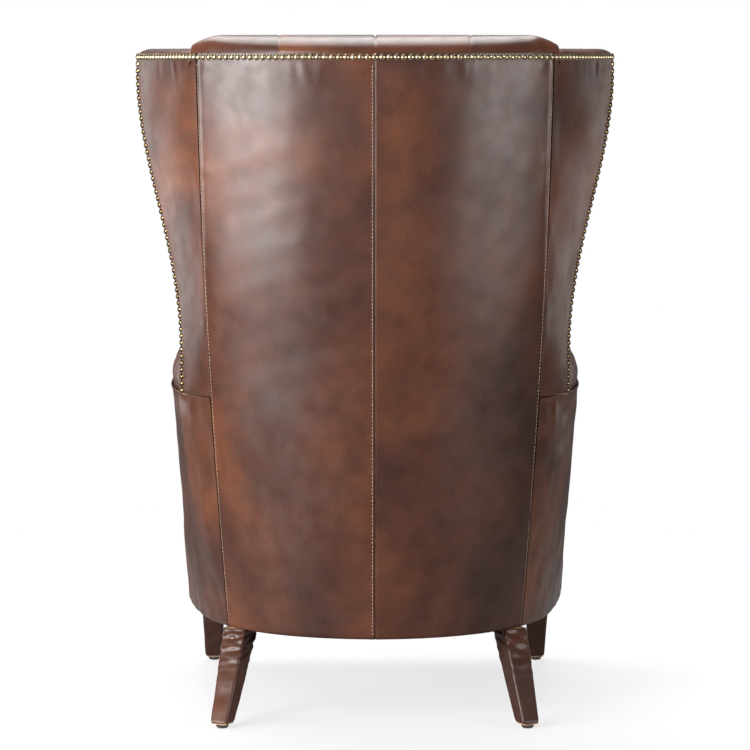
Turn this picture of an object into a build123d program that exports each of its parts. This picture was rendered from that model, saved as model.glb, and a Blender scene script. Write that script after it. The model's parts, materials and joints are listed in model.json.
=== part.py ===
from build123d import *
import os
from math import asin, atan2, cos, degrees, hypot, pi, radians, sin, sqrt

# High-backed wing armchair in nailed leather, facing -Y, standing on the floor at z = 0.
# All sizes are millimetres. "Depth" runs forward from the rearmost leather at the top of the back.

# Overall sizes
DEPTH = 850.0              # nail heads on the back to the front of the cushion
BASE_Z = 155.0             # underside of the upholstered body
SEAM_Z = 546.0             # seam between outside wing and outside arm
ARM_TOP_Z = 617.0          # top of the rolled arms
NAIL_Z = 1112.0            # line of nails along the top of the back
ROLL_RISE = 36.0           # top roll of the inside back above the nails
WING_RISE = 14.0           # top roll of the wings above the nails

# Outside back: an arc in plan, raked backwards as it rises
BACK_RAKE = 80.0
BACK_RADIUS_TOP = 450.0
BACK_RADIUS_BASE = 300.0
SIDE_SEAM_X_TOP = 293.0
SIDE_SEAM_X_BASE = 247.0
SIDE_SEAM_BULGE = 8.0

# Outside wing: from the side seam to the wing's front edge
WING_X_WAIST = 329.0
WING_X_TOP = 404.0
WING_WAIST_Z = 625.0
WING_CROWN_Z = 1085.0
WING_DEPTH_WAIST = 255.0
WING_DEPTH_TOP = 325.0
WING_SWELL_Z = 875.0       # the wing has its full depth from here up
WING_THICKNESS = 58.0
WING_NOSE = 22.0
WING_TURN = 7.0            # the wing's curve in plan, degrees each side of its chord
WING_REAR_SHARE = 0.03     # the wing's cover starts here, past the back post
WING_PAD_DRAW = 3.6        # its stuffing draws in over the rail

# Outside arm: from the side seam to the arm's front
ARM_X_BASE = 338.0
ARM_X_SEAM = 354.0
ARM_FRONT_DEPTH = 800.0
ARM_BREAK_DEPTH = 302.0    # the rolled top of the arm starts here, before the wing
ARM_THICKNESS = 100.0
ARM_TURN_BASE = 130.0      # how long the plan keeps the back's direction
ARM_TURN_SEAM = 160.0
ARM_REACH = 300.0          # straight run of the arm behind its front
ARM_TOE = 90.0             # direction of that run, degrees from sideways
SIDE_SEAM_BREAK = 1.5      # turn of the plan at the side seam, degrees

# Inside back
INSIDE_HALF_BASE = 195.0
INSIDE_HALF_TOP = 243.0
PAD_SEAT = 150.0           # pad at the seat and at the head
PAD_HEAD = 92.0
PAD_SEAT_Z = 455.0
PAD_HEAD_Z = 1005.0
FACE_RADIUS_SEAT = 2600.0  # hollow of the inside face across the chair
FACE_RADIUS_TOP = 950.0
BUTTON_SPACING = 155.0
BUTTON_ROW_STEP = 112.0
BUTTON_TOP_DROP = 130.0    # top row of buttons below the nails
BUTTON_ROWS = 5
BUTTON_RADIUS = 12.0
BUTTON_HEIGHT = 8.0
BUTTON_ROUND = 5.0
TUFT_RADIUS = 42.0
TUFT_DEPTH = 20.0
TUFT_FLOOR = 13.5
ROLL_SETBACK = 1.5         # top roll behind the face below it
ROLL_ROOT = 6.0            # the face's stuffing runs this far up into the roll

# Leather, wadding and room between layers
LEATHER = 2.0
COVER = 2.5                # leather with its wadding
LAYER_GAP = 0.3
PAD_ROOM = 1.0             # stuffing to the timber beside it
SEAM_GAP = 1.2             # between two panels at a seam

# Frame timber
FRAME_INSET = 7.0          # leather face to the frame, at the back
SIDE_INSET = 4.0           # the same at wings and arms
BACK_TIMBER = 32.0
SIDE_TIMBER = 28.0
POST_TIMBER = 40.0
RAIL_LIFT = 5.0            # rails above the underside
SEAT_RAIL_HEIGHT = 130.0
TOP_RAIL_HEIGHT = 56.0
TOP_RAIL_RISE = 5.0        # top rail above the nail line
LOWER_RAIL_Z = 350.0
LOWER_RAIL_HEIGHT = 45.0
ARM_RAIL_HEIGHT = 36.0
ARM_RAIL_DROP = 0.3        # arm rail below the arm seam
WING_RAIL_HEIGHT = 40.0
WING_RAIL_RISE = 3.0
BACK_POST_SHARES = (0.84, 0.998)
ARM_POST_SHARES = (0.93, 0.985)
WING_POST_SHARES = (0.70, 0.99)
FRONT_RAIL_SETBACK = 2.0
FRONT_RAIL_TIMBER = 32.0
BLOCK_LEG = 62.0
BLOCK_HEIGHT = 55.0
DOWEL_RADIUS = 5.0
DOWEL_LENGTH = 56.0
DOWEL_ROOM = 0.1

# Legs
LEG_TOP = 45.0
LEG_FOOT = 30.0
LEG_TURN = 28.0            # rear legs turned outwards, degrees
REAR_LEG_INSET = 19.0
REAR_LEG_SHARE = 0.97
REAR_FOOT_X = 255.5
REAR_FOOT_DEPTH = 120.0
FRONT_LEG_SHARE = 0.957
FRONT_LEG_INSET = 38.0
FRONT_FOOT_X = 298.0
FRONT_FOOT_DEPTH = 770.0
LEG_STUB = 20.0            # square stub on the core, through the dust cover to the frame
WRAP = 2.0
WRAP_ROOM = 0.2
GLIDE_RADIUS = 10.5
GLIDE_FLAT = 6.5
GLIDE_HEIGHT = 7.0
GLIDE_RIM = 2.0
BOLT_RADIUS = 4.0
BOLT_IN_LEG = 20.0
BOLT_IN_POST = 50.0
BOLT_ROOM = 0.1

# Seat suspension and deck
SPRING_COUNT = 5
SPRING_SPACING = 76.0
SPRING_WIRE = 3.8
SPRING_HALF_WIDTH = 25.0
SPRING_STEP = 34.0
SPRING_BEND = 16.0
SPRING_SEAT = 14.0         # spring ends lie this far onto the rails
CLIP_LENGTH = 20.0
CLIP_WIDTH = 13.0
CLIP_WALL = 1.6
HESSIAN = 1.5
DECK_PAD = 42.0
WEBBING = 1.4
WEBBING_WIDTH = 50.0
WEBBING_COUNT = 6
WEBBING_ROOM = 8.0         # strap ends to the sides of the inside back
DUST_CLOTH = 0.8
DUST_CLOTH_INSET = 5.0

# Arm facings and front border
FACING = 10.0
BORDER = 3.0

# Loose seat cushion
CUSHION_HEIGHT = 112.0
CUSHION_CROWN = 20.0
CUSHION_ROOM = 2.0         # to the arms
CUSHION_BACK_ROOM = 18.0   # to the inside back, for the zip
CUSHION_CORNER = 40.0
CUSHION_EDGE = 9.0         # rounding of its edges
CUSHION_DRAW = 5.0         # the front pulls in between its corners
ZIP_LENGTH = 300.0
ZIP_WIDTH = 26.0
ZIP_THICKNESS = 1.6
ZIP_SLOT = 8.0
SLIDER_LENGTH = 9.0
SLIDER_WIDTH = 10.0
SLIDER_THICKNESS = 4.0
PULL_LENGTH = 30.0
PULL_WIDTH = 6.0
PULL_THICKNESS = 1.5

# Nails
NAIL_RADIUS = 5.5
NAIL_PROUD = 3.4
NAIL_PITCH = 11.6
NAIL_SHANK_SIDE = 1.6      # square shank
NAIL_SHANK = 9.0
NAIL_EDGE = 6.5            # nail centres to the edge of the panel they hold

BACK_Y = DEPTH / 2 - NAIL_PROUD
RAIL_Z = BASE_Z + RAIL_LIFT
RAIL_TOP_Z = RAIL_Z + SEAT_RAIL_HEIGHT
SPRING_Z = RAIL_TOP_Z + LAYER_GAP + SPRING_WIRE / 2
HESSIAN_Z = SPRING_Z + SPRING_WIRE / 2 + CLIP_WALL + 2 * LAYER_GAP
FILL_Z = HESSIAN_Z + HESSIAN + LAYER_GAP
DECK_Z = FILL_Z + DECK_PAD + LAYER_GAP + LEATHER
CUSHION_Z = DECK_Z + LAYER_GAP
TOP_RAIL_Z = NAIL_Z + TOP_RAIL_RISE - TOP_RAIL_HEIGHT
BACK_FILL = FRAME_INSET + BACK_TIMBER + WEBBING + 2 * LAYER_GAP
WING_CAVITY = SIDE_INSET + SIDE_TIMBER + PAD_ROOM
ARM_CAVITY = 0.7 * ARM_THICKNESS
ROLL_Z = ARM_TOP_Z - ARM_THICKNESS / 2
LOW_STEPS = 4
WING_STEPS = 8
LEVELS = [BASE_Z + (SEAM_Z - BASE_Z) * k / LOW_STEPS for k in range(LOW_STEPS)]
LEVELS += [SEAM_Z + (NAIL_Z - SEAM_Z) * k / WING_STEPS for k in range(WING_STEPS + 1)]


def mix(a, b, share):
    return a + (b - a) * share


def ease(share):
    share = min(1.0, max(0.0, share))
    return share * share * (3 - 2 * share)


def rise(z):
    return (z - BASE_Z) / (NAIL_Z - BASE_Z)


def at_depth(depth):
    return BACK_Y - depth


def levels(low, high):
    """Heights from low to high, with the shared section heights between them."""
    margin = 4.0
    return [low] + [z for z in LEVELS if low + margin < z < high - margin] + [high]


def solve(value, target, low, high):
    """The share at which a rising function reaches the target."""
    for _ in range(50):
        middle = (low + high) / 2
        if value(middle) < target:
            low = middle
        else:
            high = middle
    return (low + high) / 2


# Plan of the outside leather

def back_circle(z):
    radius = mix(BACK_RADIUS_BASE, BACK_RADIUS_TOP, rise(z))
    rear = BACK_Y - BACK_RAKE * (1 - rise(z))
    return rear - radius, radius


def side_seam_x(z):
    k = min(1.0, rise(z))
    return mix(SIDE_SEAM_X_BASE, SIDE_SEAM_X_TOP, k) + 4 * SIDE_SEAM_BULGE * k * (1 - k)


def back_point(z, share, inset):
    """A point on the back: share 0 is the centre, 1 the right side seam."""
    centre, radius = back_circle(z)
    angle = share * asin(side_seam_x(z) / radius)
    return (radius - inset) * sin(angle), centre + (radius - inset) * cos(angle)


def back_at_x(z, x, inset):
    centre, radius = back_circle(z)
    return x, centre + sqrt((radius - inset) ** 2 - x ** 2)


def step(angle, length):
    """A move in plan, at an angle from straight sideways to straight forward."""
    return length * cos(radians(angle)), -length * sin(radians(angle))


def added(a, b, sign=1):
    return a[0] + sign * b[0], a[1] + sign * b[1]


def wing_poles(z):
    start = back_point(z, 1, 0)
    x = mix(WING_X_WAIST, WING_X_TOP, ease((z - WING_WAIST_Z) / (WING_CROWN_Z - WING_WAIST_Z)))
    swell = ease((z - SEAM_Z) / (WING_SWELL_Z - SEAM_Z))
    end = x, at_depth(mix(WING_DEPTH_WAIST, WING_DEPTH_TOP, swell))
    third = hypot(end[0] - start[0], end[1] - start[1]) / 3
    lean = degrees(atan2(start[1] - end[1], end[0] - start[0]))
    first = added(start, step(lean - WING_TURN, third))
    return start, first, added(end, step(lean + WING_TURN, third), -1), end


def arm_poles(z):
    z = min(z, SEAM_Z)
    k = (z - BASE_Z) / (SEAM_Z - BASE_Z)
    start = back_point(z, 1, 0)
    centre, radius = back_circle(z)
    heading = degrees(asin(side_seam_x(z) / radius)) + SIDE_SEAM_BREAK
    end = mix(ARM_X_BASE, ARM_X_SEAM, k), at_depth(ARM_FRONT_DEPTH)
    first = added(start, step(heading, mix(ARM_TURN_BASE, ARM_TURN_SEAM, k)))
    return start, first, added(end, step(ARM_TOE, ARM_REACH), -1), end


def side_point(poles, share, inset):
    """A point along a wing or arm curve, moved inwards from the leather by the inset."""
    p, q, r, s = poles
    t = share
    u = 1 - t
    weights = (u ** 3, 3 * u * u * t, 3 * u * t * t, t ** 3)
    x = sum(w * point[0] for w, point in zip(weights, poles))
    y = sum(w * point[1] for w, point in zip(weights, poles))
    dx = u * u * (q[0] - p[0]) + 2 * u * t * (r[0] - q[0]) + t * t * (s[0] - r[0])
    dy = u * u * (q[1] - p[1]) + 2 * u * t * (r[1] - q[1]) + t * t * (s[1] - r[1])
    length = hypot(dx, dy)
    return x + inset * dy / length, y - inset * dx / length


def run(poles, first, last, inset, count=6):
    shares = [mix(first, last, k / (count - 1)) for k in range(count)]
    return [side_point(poles, share, inset) for share in shares]


def reach(poles, depth, inset):
    """The share at which an inset wing or arm curve comes forward to a depth."""
    return solve(lambda s: -side_point(poles, s, inset)[1], -at_depth(depth), 0, 1.2)


def raised(points, z):
    return [(x, y, z) for x, y in points]


def outline(z, *pieces):
    """A closed wire at height z: each piece is a run of plan points, 2 a line, 3 an arc, more a curve."""
    edges = []
    for points in pieces:
        spots = raised(points, z)
        if len(spots) == 2:
            edges.append(Line(*spots))
        elif len(spots) == 3:
            edges.append(ThreePointArc(*spots))
        else:
            edges.append(Spline(*spots))
    return Wire([edge for piece in edges for edge in piece.edges()])


def stack(section, heights):
    return Solid.make_loft([section(z) for z in heights], True)


def sector(z, first, last, outer, inner):
    """A band of the back between two shares and two insets."""
    middle = (first + last) / 2
    near = [back_point(z, share, outer) for share in (first, middle, last)]
    far = [back_point(z, share, inner) for share in (last, middle, first)]
    return outline(z, near, [near[-1], far[0]], far, [far[-1], near[0]])


def band(z, poles, first, last, outer, inner):
    """A band of a wing or arm between two shares and two insets."""
    near = run(poles, first, last, outer)
    far = run(poles, last, first, inner)
    return outline(z, near, [near[-1], far[0]], far, [far[-1], near[0]])


def largest(shape):
    return max(shape.solids(), key=lambda solid: solid.volume)


def mirrored(solid):
    return mirror(solid, about=Plane.YZ)


def upright(x, y, low, high, radius):
    return Pos(x, y, (low + high) / 2) * Cylinder(radius, high - low)


# Inside back

def inside_half(z):
    return mix(INSIDE_HALF_BASE, INSIDE_HALF_TOP, min(1.0, rise(z)))


def face_y(x, z):
    """The inside back's face, hollow across the chair."""
    k = ease((z - PAD_SEAT_Z) / (PAD_HEAD_Z - PAD_SEAT_Z))
    radius = 1 / mix(1 / FACE_RADIUS_SEAT, 1 / FACE_RADIUS_TOP, k)
    centre, back_radius = back_circle(z)
    middle = centre + back_radius - BACK_FILL - mix(PAD_SEAT, PAD_HEAD, k)
    return middle - radius + sqrt(radius ** 2 - x ** 2)


def inside_wire(z, skin, rear):
    half = inside_half(z) - skin
    far = [back_at_x(z, -half, rear), back_at_x(z, 0, rear), back_at_x(z, half, rear)]
    near = [(x, face_y(x, z) + skin) for x in (half, 0, -half)]
    return outline(z, far, [far[-1], near[0]], near, [near[-1], far[0]])


def roll_wire(z, skin, rear, draw, share):
    """A level of the top roll, which also lies over the top rail out to the side seams."""
    half = inside_half(z) - skin - ROLL_SETBACK
    rear_arc = [back_point(z, s, rear) for s in (-share, 0, share)]
    shoulder = back_point(z, share, BACK_FILL)
    neck = back_at_x(z, half, BACK_FILL)
    near = [(x, face_y(x, z) + skin + ROLL_SETBACK + draw) for x in (half, 0, -half)]
    left_shoulder = (-shoulder[0], shoulder[1])
    left_neck = (-neck[0], neck[1])
    return outline(
        z, rear_arc, [rear_arc[-1], shoulder], [shoulder, neck], [neck, near[0]], near,
        [near[-1], left_neck], [left_neck, left_shoulder], [left_shoulder, rear_arc[0]])


# Levels of the top roll: share of its rise, rear inset, drawn back at the face, share across
ROLL_LEVELS = (
    (0.35, 1.0, 6.0, 0.98), (0.66, 8.0, 14.0, 0.965),
    (0.88, 19.0, 24.0, 0.94), (1.0, 32.0, 34.0, 0.9))


def inside_form(skin, rear, low):
    foot_z = NAIL_Z + TOP_RAIL_RISE + LAYER_GAP
    wires = [inside_wire(z, skin, rear) for z in levels(low, foot_z)]
    wires.append(inside_wire(foot_z + ROLL_ROOT, skin + ROLL_ROOT, rear + ROLL_ROOT))
    body = Solid.make_loft(wires, True)
    roll_rear = LEATHER + LAYER_GAP + skin
    wires = [roll_wire(foot_z, skin, roll_rear, 0, 0.985)]
    for share, inset, draw, across in ROLL_LEVELS:
        z = mix(foot_z, NAIL_Z + ROLL_RISE - skin, share)
        wires.append(roll_wire(z, skin, roll_rear + inset, draw, across))
    return body + Solid.make_loft(wires, True)


def button_spots():
    for row in range(BUTTON_ROWS):
        z = NAIL_Z - BUTTON_TOP_DROP - row * BUTTON_ROW_STEP
        for k in (-1, 0, 1) if row % 2 == 0 else (-0.5, 0.5):
            x = k * BUTTON_SPACING
            yield x, face_y(x, z), z


def dent(x, y, z, grow):
    """A tuft: a cone cut into the face, with a flat floor for its button."""
    mouth = 30.0
    slope = (TUFT_RADIUS - TUFT_FLOOR) / TUFT_DEPTH
    cone = Cone(TUFT_FLOOR + grow, TUFT_RADIUS + grow + slope * mouth, TUFT_DEPTH + mouth,
                align=(Align.CENTER, Align.CENTER, Align.MIN))
    return Plane((x, y + TUFT_DEPTH + grow, z), z_dir=(0, -1, 0)) * cone


def inside_back():
    outer = inside_form(0, BACK_FILL, FILL_Z)
    hollow = inside_form(COVER, BACK_FILL - LAYER_GAP, FILL_Z - 1)
    pad = inside_form(COVER + LAYER_GAP, BACK_FILL + LAYER_GAP, FILL_Z + LAYER_GAP)
    spots = list(button_spots())
    outer -= [dent(*spot, 0) for spot in spots]
    hollow -= [dent(*spot, COVER) for spot in spots]
    pad -= [dent(*spot, COVER + LAYER_GAP) for spot in spots]
    return outer - hollow, pad


def buttons():
    button = Cylinder(BUTTON_RADIUS, BUTTON_HEIGHT, align=(Align.CENTER, Align.CENTER, Align.MIN))
    button = fillet(button.edges().sort_by(Axis.Z)[-1], BUTTON_ROUND)
    lift = TUFT_DEPTH - LAYER_GAP
    return [Plane((x, y + lift, z), z_dir=(0, -1, 0)) * button for x, y, z in button_spots()]


# Wings

def wing_wire(z, skin, outer, rear, spread, draw=0.0):
    poles = wing_poles(min(z, NAIL_Z))
    half = inside_half(z) + spread
    corner = back_at_x(z, half, rear)
    shoulder = back_point(z, 1, rear)
    inner = WING_THICKNESS - skin - draw
    first = 0.0
    if side_point(poles, 0, inner)[0] < half + 1:
        first = solve(lambda s: side_point(poles, s, inner)[0], half + 1, 0, 1)
    outside = run(poles, WING_REAR_SHARE, 1, outer + draw)
    inside = run(poles, 1, first, inner)
    ahead = added(side_point(poles, 1, 0), side_point(poles, 0.98, 0), -1)
    scale = (WING_NOSE - skin - draw) / hypot(*ahead)
    tip = (outside[-1][0] + inside[0][0]) / 2 + ahead[0] * scale, \
        (outside[-1][1] + inside[0][1]) / 2 + ahead[1] * scale
    return outline(
        z, [corner, shoulder], [shoulder, outside[0]], outside, [outside[-1], tip, inside[0]], inside,
        [inside[-1], corner])


# Levels of the wing's rounded top: share of its rise, drawn in all round
WING_TOP_LEVELS = ((0.5, 3.0), (0.85, 9.0), (1.0, 16.0))


def wing_form(skin, outer, rear, spread, low):
    heights = levels(low, NAIL_Z - skin)
    wires = [wing_wire(z, skin, outer, rear, spread) for z in heights]
    for share, draw in WING_TOP_LEVELS:
        wires.append(wing_wire(NAIL_Z + share * WING_RISE - skin, skin, outer, rear, spread, draw))
    return Solid.make_loft(wires, True)


def wing_pad_wire(z, draw=0.0):
    """A level of the wing's stuffing, between its timber and its cover."""
    poles = wing_poles(min(z, NAIL_Z))
    skin = COVER + LAYER_GAP
    half = inside_half(z) + 1
    rear = BACK_FILL + LAYER_GAP
    inner = WING_THICKNESS - skin - draw
    centre, radius = back_circle(z)

    def ahead_of_back(share):
        x, y = side_point(poles, share, WING_CAVITY)
        return radius - hypot(x, y - centre)

    first = 0.0
    if side_point(poles, 0, inner)[0] < half + 1:
        first = solve(lambda s: side_point(poles, s, inner)[0], half + 1, 0, 1)
    outside = run(poles, solve(ahead_of_back, rear, 0, 1), WING_POST_SHARES[1] + 0.004, WING_CAVITY)
    edge = side_point(poles, 1, LEATHER + 2 * LAYER_GAP + draw)
    inside = run(poles, 1, first, inner)
    ahead = added(side_point(poles, 1, 0), side_point(poles, 0.98, 0), -1)
    scale = (WING_NOSE - skin - draw) / hypot(*ahead)
    tip = (edge[0] + inside[0][0]) / 2 + ahead[0] * scale, (edge[1] + inside[0][1]) / 2 + ahead[1] * scale
    corner = back_at_x(z, half, rear)
    return outline(
        z, outside, [outside[-1], edge], [edge, tip, inside[0]], inside, [inside[-1], corner],
        [corner, outside[0]])


def wing_pad():
    heights = levels(SEAM_Z + LAYER_GAP, NAIL_Z - COVER - LAYER_GAP)
    wires = [wing_pad_wire(z) for z in heights]
    wires.append(wing_pad_wire(NAIL_Z + WING_RAIL_RISE, WING_PAD_DRAW))
    return Solid.make_loft(wires, True)


def wing_soft():
    low = SEAM_Z + LAYER_GAP
    beside = LEATHER + LAYER_GAP
    shell = wing_form(0, beside, BACK_FILL, LAYER_GAP, low)
    hollow = wing_form(COVER, beside - 1, BACK_FILL - 1, -1, low - 2)
    return shell - hollow, wing_pad()


# Arms

def arm_low_wire(z, skin, outer, rear, spread, front):
    poles = arm_poles(z)
    half = inside_half(z) + spread
    inner = ARM_THICKNESS - skin
    first = solve(lambda s: side_point(poles, s, inner)[0], half + 1, 0, 1)
    outside = run(poles, 0.08, reach(poles, front, outer), outer)
    inside = run(poles, reach(poles, front, inner), first, inner)
    corner = back_at_x(z, half, rear)
    shoulder = back_point(z, 1, rear)
    return outline(
        z, [corner, shoulder], [shoulder, outside[0]], outside, [outside[-1], inside[0]], inside,
        [inside[-1], corner])


def arm_top_wire(z, skin, draw, front):
    poles = arm_poles(z)
    sides = []
    for inset in (skin + draw, ARM_THICKNESS - skin - draw):
        first = reach(poles, ARM_BREAK_DEPTH + skin, inset)
        sides.append(run(poles, first, reach(poles, front, inset), inset))
    near, far = sides[0], sides[1][::-1]
    return outline(z, near, [near[-1], far[0]], far, [far[-1], near[0]])


def arm_pad_wire(z, inner):
    poles = arm_poles(z)
    first = 0.45
    near = run(poles, first, reach(poles, ARM_FRONT_DEPTH, ARM_CAVITY), ARM_CAVITY)
    far = run(poles, reach(poles, ARM_FRONT_DEPTH, inner), first, inner)
    return outline(z, near, [near[-1], far[0]], far, [far[-1], near[0]])


ARM_TOP_SHARES = (0.0, 0.3, 0.55, 0.75, 0.89, 0.97)


def arm_top(skin, front, low):
    radius = ARM_THICKNESS / 2 - skin
    wires = [arm_top_wire(low, skin, 0, front)]
    for share in ARM_TOP_SHARES:
        draw = radius - radius * sqrt(1 - share ** 2)
        wires.append(arm_top_wire(ROLL_Z + share * radius, skin, draw, front))
    return Solid.make_loft(wires, True)


def arm_soft():
    """The cover, an inside panel below the seam and a roll above it, and the stuffing in both."""
    low = SEAM_Z + LAYER_GAP
    beside = LEATHER + LAYER_GAP
    front = ARM_FRONT_DEPTH
    past = front + 2
    heights = levels(FILL_Z, SEAM_Z)
    inner_heights = levels(FILL_Z - 1, SEAM_Z + 1)
    panel = stack(lambda z: arm_low_wire(z, 0, beside, BACK_FILL, LAYER_GAP, front), heights)
    panel -= stack(lambda z: arm_low_wire(z, COVER, beside - 1, BACK_FILL - 1, -1, past), inner_heights)
    roll = arm_top(0, front, low) - arm_top(COVER, past, low - 1)
    skin = COVER + LAYER_GAP
    pad = stack(lambda z: arm_pad_wire(z, ARM_THICKNESS - skin), levels(FILL_Z + LAYER_GAP, low + LAYER_GAP))
    pad += arm_top(skin, front, low + LAYER_GAP)
    return Compound(panel.solids() + roll.solids()), pad


# Arm facings and the border between them

def front_x(z, inset):
    poles = arm_poles(z)
    return side_point(poles, reach(poles, ARM_FRONT_DEPTH, inset), inset)[0]


def facing():
    y = at_depth(ARM_FRONT_DEPTH + LAYER_GAP)
    low = BASE_Z
    outer = [(front_x(z, 0), y, z) for z in (low, SEAM_Z, ROLL_Z)]
    inner = [(front_x(z, ARM_THICKNESS), y, z) for z in (ROLL_Z, SEAM_Z, low)]
    crest = ((outer[-1][0] + inner[0][0]) / 2, y, ARM_TOP_Z)
    edges = [Line(outer[0], outer[1]), Line(outer[1], outer[2]), ThreePointArc(outer[2], crest, inner[0]),
             Line(inner[0], inner[1]), Line(inner[1], inner[2]), Line(inner[2], outer[0])]
    face = Face(Wire([edge for piece in edges for edge in piece.edges()]))
    return extrude(face, FACING, dir=(0, -1, 0))


def border():
    y = at_depth(ARM_FRONT_DEPTH + LAYER_GAP)
    low, high = BASE_Z, DECK_Z
    half_low = front_x(low, ARM_THICKNESS) - LAYER_GAP
    half_high = front_x(high, ARM_THICKNESS) - LAYER_GAP
    corners = [(-half_low, y, low), (half_low, y, low), (half_high, y, high), (-half_high, y, high)]
    return extrude(Face(Wire(Polyline(*corners, close=True).edges())), BORDER, dir=(0, -1, 0))


# Frame

def back_post():
    inner = FRAME_INSET + BACK_TIMBER
    return stack(lambda z: sector(z, *BACK_POST_SHARES, FRAME_INSET, inner), levels(RAIL_Z, TOP_RAIL_Z))


def back_rail(low, height, share):
    inner = FRAME_INSET + BACK_TIMBER
    return stack(lambda z: sector(z, -share, share, FRAME_INSET, inner), [low, low + height])


def side_rail(low, height, shares, poles):
    inner = SIDE_INSET + SIDE_TIMBER
    return stack(lambda z: band(z, poles(z), *shares, SIDE_INSET, inner), [low, low + height])


def wing_rail():
    """The rail under the wing's top, from the back frame to the wing post."""
    inner = SIDE_INSET + SIDE_TIMBER
    low = NAIL_Z + WING_RAIL_RISE - WING_RAIL_HEIGHT

    def section(z):
        poles = wing_poles(z)
        centre, radius = back_circle(z)
        frame_end = BACK_POST_SHARES[1] * asin(side_seam_x(z) / radius) + LAYER_GAP / radius

        def turned(share):
            x, y = side_point(poles, share, inner)
            return atan2(x, y - centre)

        return band(z, poles, solve(turned, frame_end, 0, 1), WING_POST_SHARES[0] - 0.0015, SIDE_INSET, inner)
    return stack(section, [low, low + WING_RAIL_HEIGHT])


def arm_post():
    top = SEAM_Z - ARM_RAIL_DROP
    inner = SIDE_INSET + POST_TIMBER
    return stack(lambda z: band(z, arm_poles(z), *ARM_POST_SHARES, SIDE_INSET, inner), levels(RAIL_Z, top))


def wing_post():
    inner = SIDE_INSET + SIDE_TIMBER
    return stack(lambda z: band(z, wing_poles(z), *WING_POST_SHARES, SIDE_INSET, inner),
                 levels(SEAM_Z - ARM_RAIL_DROP, NAIL_Z + WING_RAIL_RISE))


def front_rail():
    front = at_depth(ARM_FRONT_DEPTH - FRONT_RAIL_SETBACK)
    rear = front + FRONT_RAIL_TIMBER

    def section(z):
        inset = SIDE_INSET + POST_TIMBER + LAYER_GAP
        poles = arm_poles(z)
        half = side_point(poles, reach(poles, BACK_Y - rear, inset), inset)[0] - LAYER_GAP
        corners = [(-half, front), (half, front), (half, rear), (-half, rear)]
        return outline(z, *[[corners[k - 1], corners[k]] for k in range(4)])
    return stack(section, [RAIL_Z, RAIL_TOP_Z])


def block(corner, first, second):
    """A three-cornered glue block in a corner of the seat frame."""
    points = [corner, added(corner, first), added(corner, second)]
    face = Face(Wire(Polyline(*raised(points, RAIL_Z), close=True).edges()))
    return extrude(face, BLOCK_HEIGHT, dir=(0, 0, 1))


def front_block():
    poles = arm_poles(RAIL_Z)
    rear_y = at_depth(ARM_FRONT_DEPTH - FRONT_RAIL_SETBACK) + FRONT_RAIL_TIMBER + LAYER_GAP
    inset = SIDE_INSET + POST_TIMBER + LAYER_GAP
    x = side_point(poles, ARM_POST_SHARES[0], inset)[0] - LAYER_GAP
    x = min(x, side_point(poles, reach(poles, BACK_Y - rear_y - BLOCK_LEG, inset), inset)[0])
    return block((x, rear_y), (-BLOCK_LEG, 0), (0, BLOCK_LEG))


def rear_block():
    inner = FRAME_INSET + BACK_TIMBER + LAYER_GAP
    share = BACK_POST_SHARES[0]
    corner = back_point(RAIL_Z + BLOCK_HEIGHT, share, inner)
    centre, _ = back_circle(RAIL_Z)
    out = corner[0], corner[1] - centre
    length = hypot(*out)
    inward = -out[0] / length, -out[1] / length
    along = inward[1], -inward[0]
    start = added(corner, (along[0] * BLOCK_LEG / 2, along[1] * BLOCK_LEG / 2), -1)
    start = added(start, (inward[0] * BLOCK_LEG / 5, inward[1] * BLOCK_LEG / 5))
    return block(start, (along[0] * BLOCK_LEG, along[1] * BLOCK_LEG),
                 (along[0] * BLOCK_LEG / 2 + inward[0] * BLOCK_LEG / 2,
                  along[1] * BLOCK_LEG / 2 + inward[1] * BLOCK_LEG / 2))


def dowel_places():
    """Centres and directions of the dowels on the right half of the frame."""
    half = DOWEL_LENGTH / 2
    places = []
    middle = sum(BACK_POST_SHARES) / 2
    inset = FRAME_INSET + BACK_TIMBER / 2
    x, y = back_point(TOP_RAIL_Z, middle, inset)
    places.append(((x, y, TOP_RAIL_Z), (0, 0, 1)))
    y = at_depth(ARM_FRONT_DEPTH - FRONT_RAIL_SETBACK) + FRONT_RAIL_TIMBER / 2
    for z in (RAIL_Z + SEAT_RAIL_HEIGHT / 4, RAIL_Z + SEAT_RAIL_HEIGHT * 3 / 4):
        x = front_x(z, SIDE_INSET + POST_TIMBER)
        places.append(((x, y, z), (1, 0, 0)))
    for z in (RAIL_Z + SEAT_RAIL_HEIGHT / 2, SEAM_Z - ARM_RAIL_DROP - ARM_RAIL_HEIGHT / 2):
        x, y = side_point(arm_poles(z), ARM_POST_SHARES[0], SIDE_INSET + SIDE_TIMBER / 2)
        places.append(((x, y, z), (0, 1, 0)))
    return places, half


def dowels(radius, room):
    places, half = dowel_places()
    rod = Cylinder(radius, 2 * (half + room))
    return [Plane(spot, z_dir=way) * rod for spot, way in places]


def back_straps():
    """Bands of webbing across the front of the back frame."""
    low = LOWER_RAIL_Z
    high = TOP_RAIL_Z
    outer = FRAME_INSET + BACK_TIMBER + LAYER_GAP
    inner = outer + WEBBING
    straps = []
    for k in range(WEBBING_COUNT):
        z = mix(low, high, k / (WEBBING_COUNT - 1))
        share = asin((inside_half(z) - WEBBING_ROOM) / (back_circle(z)[1] - outer))
        share /= asin(side_seam_x(z) / back_circle(z)[1])
        straps.append(stack(lambda h: sector(h, -share, share, outer, inner), [z, z + WEBBING_WIDTH]))
    return straps


# Legs

def square(x, y, z, side, turn):
    half = side / 2
    spots = []
    for a, b in ((-half, -half), (half, -half), (half, half), (-half, half)):
        c, s = cos(radians(turn)), sin(radians(turn))
        spots.append((x + a * c - b * s, y + a * s + b * c))
    return outline(z, *[[spots[k - 1], spots[k]] for k in range(4)])


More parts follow.
